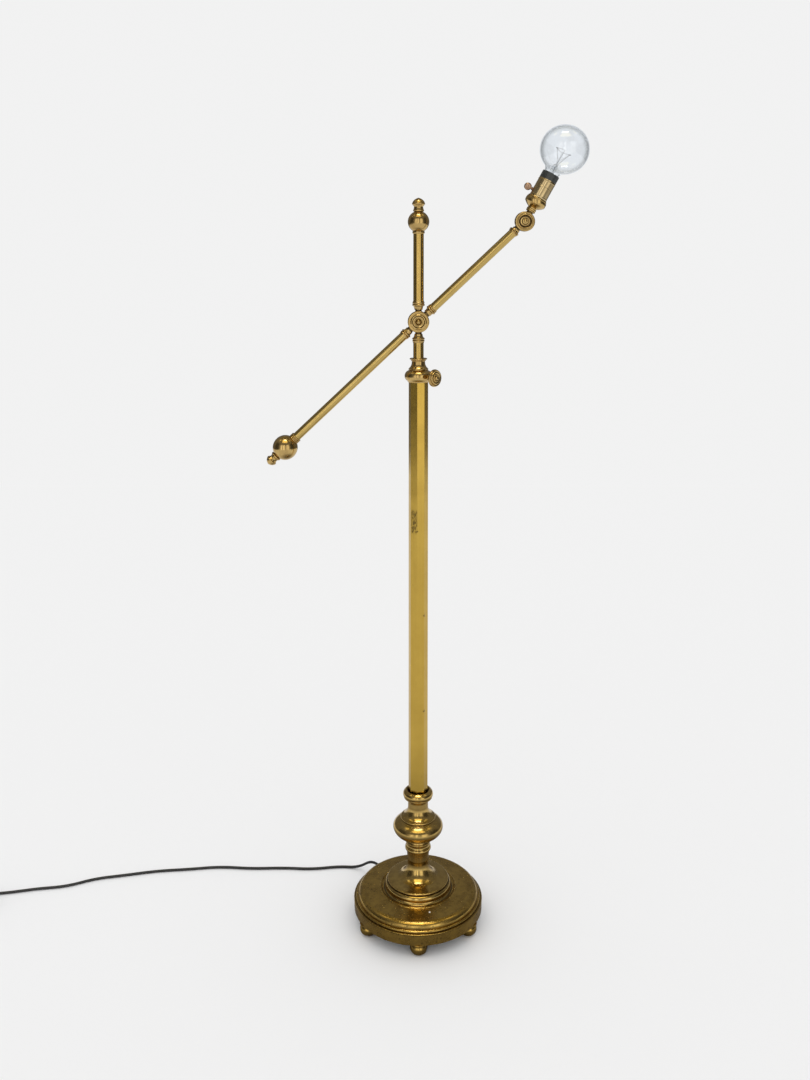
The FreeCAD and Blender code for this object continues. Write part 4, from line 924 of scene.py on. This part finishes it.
# ------------------------------------------------------------------ cord and plug
@dataclass
class MainsCord:
    """The black lead: out of the base's back, along the floor and into its coil."""

    diameter: float = 0.005
    length: float = 2.48
    direction: float = 125.0
    exit_radius: float = 0.136
    exit_height: float = 0.031
    floor_gap: float = 0.0001
    coil_middle: tuple[float, float] = (-0.862, 0.028)
    coil_radius: float = 0.0338
    coil_pitch: float = 0.00575
    layers: int = 4
    turns_per_layer: float = 2.3125
    points_per_turn: int = 16
    outward: float = 1.012
    plug_height: float = 0.0076
    floor_route: tuple[tuple[float, float], ...] = (
        (-0.119, 0.150), (-0.160, 0.154), (-0.212, 0.144), (-0.272, 0.149),
        (-0.336, 0.146), (-0.402, 0.153), (-0.462, 0.144), (-0.528, 0.138),
        (-0.590, 0.123), (-0.645, 0.112), (-0.694, 0.086), (-0.748, 0.079),
        (-0.796, 0.067), (-0.831, 0.0618),
    )

    @property
    def rest(self) -> float:
        """Height of the lead's middle where it lies on the floor."""
        return self.diameter / 2 + self.floor_gap

    def radial(self, radius: float) -> Point:
        """Point at the exit's height, at a radius from the lamp's axis."""
        angle = math.radians(self.direction)
        return (radius * math.cos(angle), radius * math.sin(angle), self.exit_height)

    def coil_point(self, turns: float) -> Point:
        """Point of the coil after a number of turns.

        Args:
            turns: Turns wound so far, in, out and up by layers.

        Returns:
            The point.
        """
        layer = int(min(turns // self.turns_per_layer, self.layers - 1))
        done = turns - layer * self.turns_per_layer
        inward = done if layer % 2 == 0 else self.turns_per_layer - done
        # The curve cuts inside its points, so they stand a little further out.
        radius = (self.coil_radius - self.coil_pitch * inward) * self.outward
        height = 0.0
        for change in range(1, self.layers):
            since = (turns - change * self.turns_per_layer) / 0.5 + 0.5
            share = min(max(since, 0.0), 1.0)
            height += self.coil_pitch * share * share * (3 - 2 * share)
        angle = math.radians(90 + 360 * turns)
        return (self.coil_middle[0] + radius * math.cos(angle),
                self.coil_middle[1] + radius * math.sin(angle), self.rest + height)

    def points(self) -> list[Point]:
        """Route of the whole lead.

        Returns:
            The control points from the base to the plug.
        """
        route = [self.radial(self.exit_radius), self.radial(self.exit_radius + 0.022)]
        route += [(x, y, self.rest) for x, y in self.floor_route]
        total = self.layers * self.turns_per_layer
        steps = round(total * self.points_per_turn)
        route += [self.coil_point(total * step / steps) for step in range(steps + 1)]
        x, y, z = route[-1]
        route += [(x, y - 0.024, z), (x - 0.007, y - 0.052, self.plug_height),
                  (x - 0.008, y - 0.078, self.plug_height)]
        return route

    def build(self) -> bpy.types.Object:
        """Returns:
            The lead.
        """
        route = self.points()
        curve = bpy.data.curves.new("mains_lead", "CURVE")
        curve.dimensions = "3D"
        spline = curve.splines.new("NURBS")
        spline.points.add(len(route) - 1)
        for point, place in zip(spline.points, route):
            point.co = (*place, 1.0)
        spline.order_u = 3
        spline.use_endpoint_u = True
        curve.resolution_u = 6
        curve.bevel_depth = self.diameter / 2
        curve.bevel_resolution = 3
        curve.use_fill_caps = True
        lead = bpy.data.objects.new("mains_lead", curve)
        bpy.context.scene.collection.objects.link(lead)
        lead.data.materials.append(finish("lead_black"))
        Fitting("base", "cord_black", ("cord", "cord_coil")).settle(lead)
        return lead


# ------------------------------------------------------------------ column
@dataclass
class EightSidedColumn:
    """The drawn brass column, whose long edges are worn soft."""

    flats: float = 0.033
    wall: float = 0.0016
    low: float = 0.238
    high: float = 1.020
    edge_turn: float = 37.5
    edge_wear: float = 0.0011

    def build(self) -> bpy.types.Object:
        """Models the tube from an open eight-sided cylinder.

        Returns:
            The column.
        """
        deselect()
        radius = self.flats / 2 / math.cos(math.pi / 8)
        bpy.ops.mesh.primitive_cylinder_add(
            vertices=8, radius=radius, depth=self.high - self.low,
            end_fill_type="NOTHING", location=(0, 0, (self.high + self.low) / 2),
            rotation=(0, 0, math.radians(self.edge_turn)))
        column = rename(bpy.context.active_object, "column_tube")
        apply_place(column)
        bpy.ops.object.mode_set(mode="EDIT")
        mesh = bmesh.from_edit_mesh(column.data)
        for edge in mesh.edges:
            edge.select_set(abs(edge.verts[0].co.z - edge.verts[1].co.z) > 0.1)
        bmesh.update_edit_mesh(column.data)
        bpy.ops.mesh.bevel(offset=self.edge_wear, segments=3)
        bpy.ops.object.mode_set(mode="OBJECT")
        tidy_mesh(column)
        apply_modifier(column, "SOLIDIFY", thickness=self.wall, offset=-1.0)
        smooth(column, 30.0)
        apply_modifier(column, "WEIGHTED_NORMAL", keep_sharp=True)
        column.data.materials.append(finish("column_brass"))
        return Fitting("base", "column_brass", ("column",)).settle(column)


# ------------------------------------------------------------------ knob and caps
@dataclass
class ClampKnob:
    """The thumb screw with its knob, turned in rising steps to a button."""

    direction: float = -44.0
    height: float = 1.026
    start: float = 13.6
    shank: float = 4.0
    knob_start: float = 33.0

    def outline(self) -> Outline:
        """Outline from the screw's inner end to the tip of the button."""
        low = self.knob_start
        shape = Outline().line(0, self.start).line(self.shank - 0.5, self.start)
        shape.line(self.shank, self.start + 0.5).line(self.shank, low - 0.6)
        shape.line(self.shank + 0.5, low).line(7.0, low).line(7.5, low + 0.4)
        shape.bow(13.0, low + 4.0, -0.9).line(14.5, low + 4.2)
        shape.bow(15.4, low + 8.6, 1.0, 8).line(14.8, low + 8.9)
        shape.bow(13.7, low + 10.5, 0.7).line(12.9, low + 10.1).line(12.2, low + 9.9)
        shape.bow(8.6, low + 11.6, 0.9).line(7.9, low + 11.1).line(7.3, low + 11.0)
        shape.bow(5.2, low + 12.4, 0.5).line(4.4, low + 12.0).line(4.0, low + 12.0)
        shape.bow(0, low + 15.0, 1.1, 7)
        return shape

    def build(self) -> bpy.types.Object:
        """Models the knob and returns it."""
        place = Place((0.0, 0.0, self.height), Side.UP, 90.0, self.direction)
        knob = turned("clamp_knob", self.outline(), place, 72)
        knob.data.materials.append(finish("turned_brass"))
        return Fitting("thumb_screw", "turned_brass", ("thumb_screw",)).settle(knob)


@dataclass
class KnuckleCap:
    """Round ornament on a knuckle's front: rim, groove, ring and domed button."""

    name: str
    node: str
    body: str
    middle: Point
    radius: float
    half: float
    thickness: float = 5.0

    def outline(self) -> Outline:
        """Outline from the seat on the disc to the middle of the button."""
        edge = self.radius
        top = self.thickness
        shape = Outline().line(0, 0).line(edge - 1.0, 0).line(edge - 0.2, 0.5)
        shape.bow(edge - 1.3, top - 0.8, 0.7, 8)
        shape.bow(edge - 3.9, top - 0.9, 0.75, 8)
        shape.bow(edge - 5.4, top - 2.7, -0.45, 5)
        shape.line(edge * 0.52, top - 2.9)
        shape.bow(edge * 0.40, top - 2.6, 0.55, 6)
        shape.line(edge * 0.37, top - 2.9)
        shape.bow(3.2, top - 0.2, -0.35, 5)
        shape.bow(2.3, top + 0.3, 0.25, 4)
        shape.bow(0, top + 1.3, 0.35, 5)
        return shape

    def build(self) -> bpy.types.Object:
        """Models the cap and returns it."""
        x, y, z = self.middle
        place = Place((x, y - self.half / 1000, z), Side.FRONT)
        cap = turned(self.name, self.outline(), place, 72)
        cap.data.materials.append(finish("turned_brass"))
        return Fitting(self.body, "turned_brass", (self.node,)).settle(cap)


@dataclass
class DishedCap(KnuckleCap):
    """The elbow's ornament: a raised rim round a dish with a button in it."""

    def outline(self) -> Outline:
        """Outline from the seat on the disc to the middle of the button."""
        edge = self.radius
        top = self.thickness
        shape = Outline().line(0, 0).line(edge - 0.9, 0).line(edge - 0.2, 0.5)
        shape.bow(edge - 0.7, top - 1.0, 0.3, 6)
        shape.bow(edge - 2.9, top - 1.0, 0.75, 8)
        shape.bow(7.2, 1.7, -1.2, 8).line(6.0, 1.6)
        shape.bow(5.4, 3.0, 0.1, 4).bow(4.2, 3.9, 0.3, 5).bow(0, 4.7, 0.35, 6)
        return shape


# ------------------------------------------------------------------ lamp head
@dataclass
class LampHead:
    """Shell and switch key of the lamp holder, along the head's axis.

    Distances run from the elbow along the head, in millimetres.
    """

    shell_radius: float = 16.2
    shell_start: float = 41.0
    shell_end: float = 83.8
    key_at: float = 57.8

    def shell_outline(self) -> Outline:
        """Outline of the thin pressed shell: outside up, then inside down."""
        edge = self.shell_radius
        low = self.shell_start
        high = self.shell_end
        inner = edge - 0.8
        shape = Outline().line(inner, low).line(edge, low).line(edge, 49.4)
        shape.bow(edge, 51.6, 0.35, 5).line(edge, 69.0)
        shape.bow(edge, 70.4, -0.3, 4).line(edge, 79.8)
        shape.bow(edge, 81.8, 0.4, 5).line(edge - 0.1, high)
        shape.line(inner, high)
        return shape

    def build_shell(self) -> bpy.types.Object:
        """Models the shell with the slot for the key.

        Returns:
            The shell.
        """
        shell = turned("holder_shell", self.shell_outline(), Place(), 96, True)
        deselect()
        bpy.ops.mesh.primitive_cylinder_add(
            vertices=32, radius=0.0029, depth=0.02,
            location=(-self.shell_radius / 1000, 0, self.key_at / 1000),
            rotation=(0, math.radians(90), 0))
        round_cut = bpy.context.active_object
        bpy.ops.mesh.primitive_cube_add(
            size=1.0, location=(-self.shell_radius / 1000, 0, 0.0492))
        slot_cut = bpy.context.active_object
        slot_cut.scale = (0.02, 0.0052, 0.0172)
        apply_place(slot_cut)
        for cutter in (round_cut, slot_cut):
            apply_modifier(shell, "BOOLEAN", operation="DIFFERENCE", object=cutter,
                           solver="EXACT")
            bpy.data.objects.remove(cutter)
        HEAD_PLACE.put(shell)
        smooth(shell, 30.0)
        apply_modifier(shell, "WEIGHTED_NORMAL", keep_sharp=True)
        shell.data.materials.append(finish("shell_brass"))
        return Fitting("head", "turned_brass", ("socket_shell",)).settle(shell)

    def build_key(self) -> bpy.types.Object:
        """Models the switch key: a necked shaft and a thick rounded paddle.

        Returns:
            The key.
        """
        shaft = Outline().line(0, 9.1).line(2.1, 9.1).line(2.4, 9.4).line(2.4, 16.9)
        shaft.line(3.2, 17.1).bow(3.2, 18.3, 0.4, 4).line(1.9, 18.7)
        shaft.bow(2.3, 21.2, -0.2, 4).line(0, 21.6)
        stem = turned("key_stem", shaft, Place((0, 0, 0), Side.UP, -90.0), 32)
        deselect()
        bpy.ops.mesh.primitive_uv_sphere_add(segments=40, ring_count=20, radius=0.0069,
                                             location=(-0.0259, 0, 0))
        paddle = bpy.context.active_object
        paddle.scale = (1.0, 0.42, 1.0)
        apply_place(paddle)
        bpy.ops.object.mode_set(mode="EDIT")
        mesh = bmesh.from_edit_mesh(paddle.data)
        for face in mesh.faces:
            middle = face.calc_center_median()
            away = math.hypot(middle.x + 0.0259, middle.z)
            face.select_set(away < 0.0042 and abs(face.normal.y) > 0.6)
        bmesh.update_edit_mesh(paddle.data)
        bpy.ops.transform.resize(value=(1.0, 0.82, 1.0), center_override=(-0.0259, 0, 0))
        bpy.ops.object.mode_set(mode="OBJECT")
        key = join([stem, paddle], "switch_knob")
        x, y, z = ELBOW
        lean = math.radians(HEAD_LEAN)
        at = self.key_at / 1000
        middle = (x + at * math.sin(lean), y, z + at * math.cos(lean))
        Place(middle, Side.UP, HEAD_LEAN).put(key)
        smooth(key, 40.0)
        key.data.materials.append(finish("coppery_brass"))
        return Fitting("key", "copper_brass", ("switch_key",)).settle(key)


@dataclass
class BulbInsides:
    """Glass mount, leads and filament of the clear globe bulb.

    Distances run from the elbow along the head, in millimetres.
    """

    stem_foot: float = 86.2
    stem_top: float = 124.0
    ring_at: float = 143.0
    ring_radius: float = 14.6
    ring_start: float = -30.0
    ring_sweep: float = 300.0
    sag: float = 0.7
    coil_turns: int = 90
    coil_radius: float = 0.42
    lead_radius: float = 0.35

    def build_mount(self) -> bpy.types.Object:
        """Models the flared glass mount with its pinch and button.

        Returns:
            The mount.
        """
        low = self.stem_foot
        top = self.stem_top
        shape = Outline().line(0, low).line(10.6, low).line(10.8, low + 0.5)
        shape.line(10.6, low + 1.0).bow(4.6, low + 13.0, -2.4, 10)
        shape.line(4.4, top - 13.0).bow(2.4, top - 8.6, 0.7, 6).line(1.7, top - 7.4)
        shape.line(1.6, top - 3.8).bow(2.3, top - 2.2, 0.2, 3).bow(0, top, 0.5, 6)
        mount = turned("glass_mount", shape, Place(), 40)
        choose(mount)
        bpy.ops.object.mode_set(mode="EDIT")
        mesh = bmesh.from_edit_mesh(mount.data)
        for vertex in mesh.verts:
            height = vertex.co.z * 1000
            vertex.select_set(low + 20 < height < top - 8.0)
        mesh.select_flush_mode()
        bmesh.update_edit_mesh(mount.data)
        bpy.ops.transform.resize(value=(1.0, 0.55, 1.0), center_override=(0, 0, 0))
        bpy.ops.object.mode_set(mode="OBJECT")
        HEAD_PLACE.put(mount)
        smooth(mount, 50.0)
        mount.data.materials.append(finish("mount_glass"))
        return Fitting("bulb", "clear_glass", ("glass_stem",)).settle(mount)

    @staticmethod
    def wire(name: str, points: list[Point], radius: float) -> bpy.types.Object:
        """Models a round wire along points, in millimetres.

        Args:
            name: The wire's name.
            points: Points that the wire passes.
            radius: Its radius in millimetres.

        Returns:
            The wire as a mesh.
        """
        deselect()
        bpy.ops.curve.primitive_nurbs_path_add(location=(0, 0, 0))
        wire = rename(bpy.context.active_object, name)
        wire.data.splines.clear()
        spline = wire.data.splines.new("POLY")
        spline.points.add(len(points) - 1)
        for point, place in zip(spline.points, points):
            point.co = (*(value / 1000 for value in place), 1.0)
        wire.data.bevel_depth = radius / 1000
        wire.data.bevel_resolution = 1
        wire.data.use_fill_caps = True
        choose(wire)
        bpy.ops.object.convert(target="MESH")
        return bpy.context.active_object

    @staticmethod
    def ring_point(degrees: float, radius: float, height: float) -> Point:
        """Point round the head's axis, in millimetres."""
        angle = math.radians(degrees)
        return (radius * math.cos(angle), radius * math.sin(angle), height)

    def ring_height(self, degrees: float) -> float:
        """Height of the filament's middle line, which sags between its supports."""
        return self.ring_at + self.sag * math.sin(math.radians(degrees) * 3)

    def build_filament(self) -> bpy.types.Object:
        """Models the coiled filament, its leads, supports and the lead wires.

        Returns:
            The filament with all its wires.
        """
        wires = []
        steps = self.coil_turns * 8
        coil = []
        for step in range(steps + 1):
            share = step / steps
            around = self.ring_start + self.ring_sweep * share
            twist = 2 * math.pi * self.coil_turns * share
            radius = self.ring_radius + self.coil_radius * math.cos(twist)
            height = self.ring_height(around) + self.coil_radius * math.sin(twist)
            coil.append(self.ring_point(around, radius, height))
        wires.append(self.wire("filament_coil", coil, 0.11))
        for around in (self.ring_start, self.ring_start + self.ring_sweep):
            rim = self.ring_point(around, self.ring_radius, self.ring_at - self.sag)
            knee = self.ring_point(around, 3.6, self.stem_top - 4.0)
            root = self.ring_point(around, 1.4, self.stem_top - 12.0)
            foot = self.ring_point(around, 2.6, self.stem_foot + 2.0)
            wires.append(self.wire("lead", [foot, root, knee, rim], self.lead_radius))
        for around in (30, 90, 150, 210):
            level = self.ring_height(around)
            rim = self.ring_point(around, self.ring_radius + 0.5, level)
            root = self.ring_point(around, 0.6, self.stem_top - 1.2)
            wires.append(self.wire("support", [root, rim], 0.16))
            hook = [self.ring_point(around, self.ring_radius + 0.5 * math.cos(turn),
                                    level + 0.5 * math.sin(turn))
                    for turn in (math.radians(25 * place) for place in range(15))]
            wires.append(self.wire("hook", hook, 0.14))
        filament = join(wires, "filament_wires")
        HEAD_PLACE.put(filament)
        smooth(filament, 60.0)
        filament.data.materials.append(finish("wire_grey"))
        return Fitting("bulb", "wire", ("filament",)).settle(filament)


# ------------------------------------------------------------------ carried nodes
def build_finishes() -> None:
    """Builds every finish, by the name of its material."""
    round_lines = (12.0, 12.0, 700.0)
    drawn_lines = (450.0, 450.0, 6.0)
    finishes = [
        AgedBrass("base_brass", (0.60, 0.395, 0.10), (0.24, 0.15, 0.045), 0.15, 0.12,
                  34.0, 0.7, 0.14, spot_scale=150.0, spot_share=0.2, spot_size=0.24,
                  line_scale=round_lines,
                  # Grooves darkened by grime and painted shade.
                  grooves=(Groove(0.0398, 0.0008), Groove(0.0424, 0.0009)),
                  dust_share=0.035),
        AgedBrass("stem_brass", (0.60, 0.415, 0.135), (0.28, 0.18, 0.06), 0.11, 0.09,
                  30.0, 0.55, 0.16, spot_scale=170.0, spot_share=0.08,
                  line_scale=round_lines,
                  # Grooves darkened by grime and painted shade, at the pedestal's recesses
                  # and joints.
                  grooves=(Groove(0.0588, 0.0012), Groove(0.0731, 0.0012),
                           Groove(0.1321, 0.0012), Groove(0.1550, 0.0013),
                           Groove(0.1935, 0.0010), Groove(0.2375, 0.0008))),
        AgedBrass("column_brass", (0.585, 0.39, 0.078), (0.43, 0.275, 0.05), 0.15, 0.08,
                  9.0, 0.5, 0.2, spot_scale=120.0, spot_share=0.05, spot_size=0.16,
                  line_scale=drawn_lines,
                  marks=(Mark((-0.0075, -0.016, 0.760), (0.0062, 0.01, 0.024)),
                         Mark((0.0105, -0.014, 0.585), (0.0022, 0.01, 0.0026)),
                         Mark((0.0105, -0.014, 0.404), (0.0024, 0.01, 0.0030)))),
        AgedBrass("mast_brass", (0.61, 0.42, 0.13), (0.42, 0.27, 0.075), 0.13, 0.07,
                  14.0, 0.45, 0.2, line_scale=drawn_lines),
        AgedBrass("arm_brass", (0.58, 0.415, 0.14), (0.38, 0.26, 0.08), 0.13, 0.07,
                  14.0, 0.45, 0.2, line_scale=drawn_lines, lean=ARM_LEAN, foot=PIVOT),
        AgedBrass("turned_brass", (0.60, 0.42, 0.16), (0.30, 0.19, 0.07), 0.10, 0.09,
                  60.0, 0.5, 0.16, spot_scale=220.0, spot_share=0.05,
                  line_scale=(30.0, 30.0, 30.0),
                  # Rings of painted shade and grime round the pivot and the elbow.
                  rings=(Ring(PIVOT, 0.0212, 0.0018), Ring(PIVOT, 0.0106, 0.0010),
                         Ring(PIVOT, 0.0054, 0.0008), Ring(ELBOW, 0.0194, 0.0016),
                         Ring(ELBOW, 0.0093, 0.0015), Ring(ELBOW, 0.0056, 0.0007))),
        AgedBrass("shell_brass", (0.58, 0.45, 0.24), (0.34, 0.245, 0.115), 0.12, 0.08,
                  26.0, 0.4, 0.18, line_scale=drawn_lines, lean=HEAD_LEAN, foot=ELBOW),
        AgedBrass("inner_brass", (0.66, 0.46, 0.14), (0.46, 0.31, 0.08), 0.26, 0.1),
        AgedBrass("coppery_brass", (0.50, 0.33, 0.22), (0.20, 0.12, 0.07), 0.14, 0.1,
                  60.0, 0.6, 0.2, line_scale=(60.0, 60.0, 60.0)),
        AgedBrass("blade_brass", (0.72, 0.56, 0.26), (0.56, 0.42, 0.18), 0.28, 0.1),
        PlainMetal("cast_iron", (0.09, 0.088, 0.085), 0.55, 700.0, 0.7),
        PlainMetal("zinc_plate", (0.55, 0.55, 0.54), 0.32, 600.0),
        PlainMetal("wire_grey", (0.28, 0.27, 0.27), 0.3, 1400.0),
        PlainMetal("cap_aluminium", (0.78, 0.78, 0.77), 0.28, 800.0),
        Moulding("holder_black", (0.022, 0.024, 0.022), 0.24),
        Moulding("fibre_red", (0.22, 0.06, 0.035), 0.6),
        Moulding("lead_black", (0.016, 0.016, 0.017), 0.42, 500.0),
        # Both glasses carry a painted shade at their edges.
        ClearGlass("clear_glass"),
        ClearGlass("mount_glass", (0.80, 0.82, 0.84), (0.34, 0.36, 0.38), 0.04, 0.0),
    ]
    for look in finishes:
        look.build()
        LOG.info("finish %s", look.name)


NODE_FINISHES: dict[str, tuple[str, ...]] = {
    "base_brass": ("base_shell", "ball_feet"),
    "stem_brass": ("stem_pedestal", "neck_ring", "stem_bulb", "column_cup"),
    "mast_brass": ("mast_tube", "upper_mast_tube"),
    "arm_brass": ("lamp_arm_tube", "counter_arm_tube"),
    "turned_brass": ("column_collar", "mast_cups", "pivot_rear", "mast_ring",
                     "mast_ball", "mast_finial", "pivot_front", "pivot_screw",
                     "arm_cups", "counterweight_ferrule", "counterweight_ball",
                     "counterweight_finial", "elbow_rear", "elbow_front",
                     "elbow_screw", "socket_cap"),
    "inner_brass": ("slide_guide", "clamp_pad", "column_plug", "guide_stops",
                    "socket_contacts"),
    "blade_brass": ("plug_blades",),
    "cast_iron": ("base_weight",),
    "zinc_plate": ("bottom_plate", "foot_screws", "tie_pipe", "tie_nut"),
    "holder_black": ("socket_sleeve", "socket_core", "bulb_contact", "plug_body"),
    "fibre_red": ("pivot_washer", "elbow_washer"),
    "lead_black": ("base_flex", "mast_flex", "arm_flex", "head_flex", "cord_bushing"),
    "cap_aluminium": ("bulb_cap",),
    "clear_glass": ("bulb_glass",),
}


def dress_nodes() -> None:
    """Gives each carried node its finish."""
    for look, nodes in NODE_FINISHES.items():
        for node in nodes:
            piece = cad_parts[node]
            material = finish(look)
            if not piece.material_slots:
                piece.data.materials.append(material)
            for slot in piece.material_slots:
                slot.material = material
            LOG.info("%s is finished in %s", node, look)


def main() -> None:
    """Builds the camera, the cord, the studio, the finishes and the pieces."""
    logging.basicConfig(level=logging.INFO, format="%(name)s: %(message)s")
    deselect()
    LampCamera().build()
    build_effects()
    build_finishes()
    MainsCord().build()
    Studio().build()
    dress_nodes()
    EightSidedColumn().build()
    ClampKnob().build()
    KnuckleCap("pivot_ornament", "pivot_cap", "arm", PIVOT, 14.8, 9.5).build()
    DishedCap("elbow_ornament", "elbow_cap", "head", ELBOW, 14.2, 8.0).build()
    head = LampHead()
    head.build_shell()
    head.build_key()
    insides = BulbInsides()
    insides.build_mount()
    insides.build_filament()
    bpy.context.scene.view_settings.view_transform = "Standard"


if __name__ == "__main__":
    main()
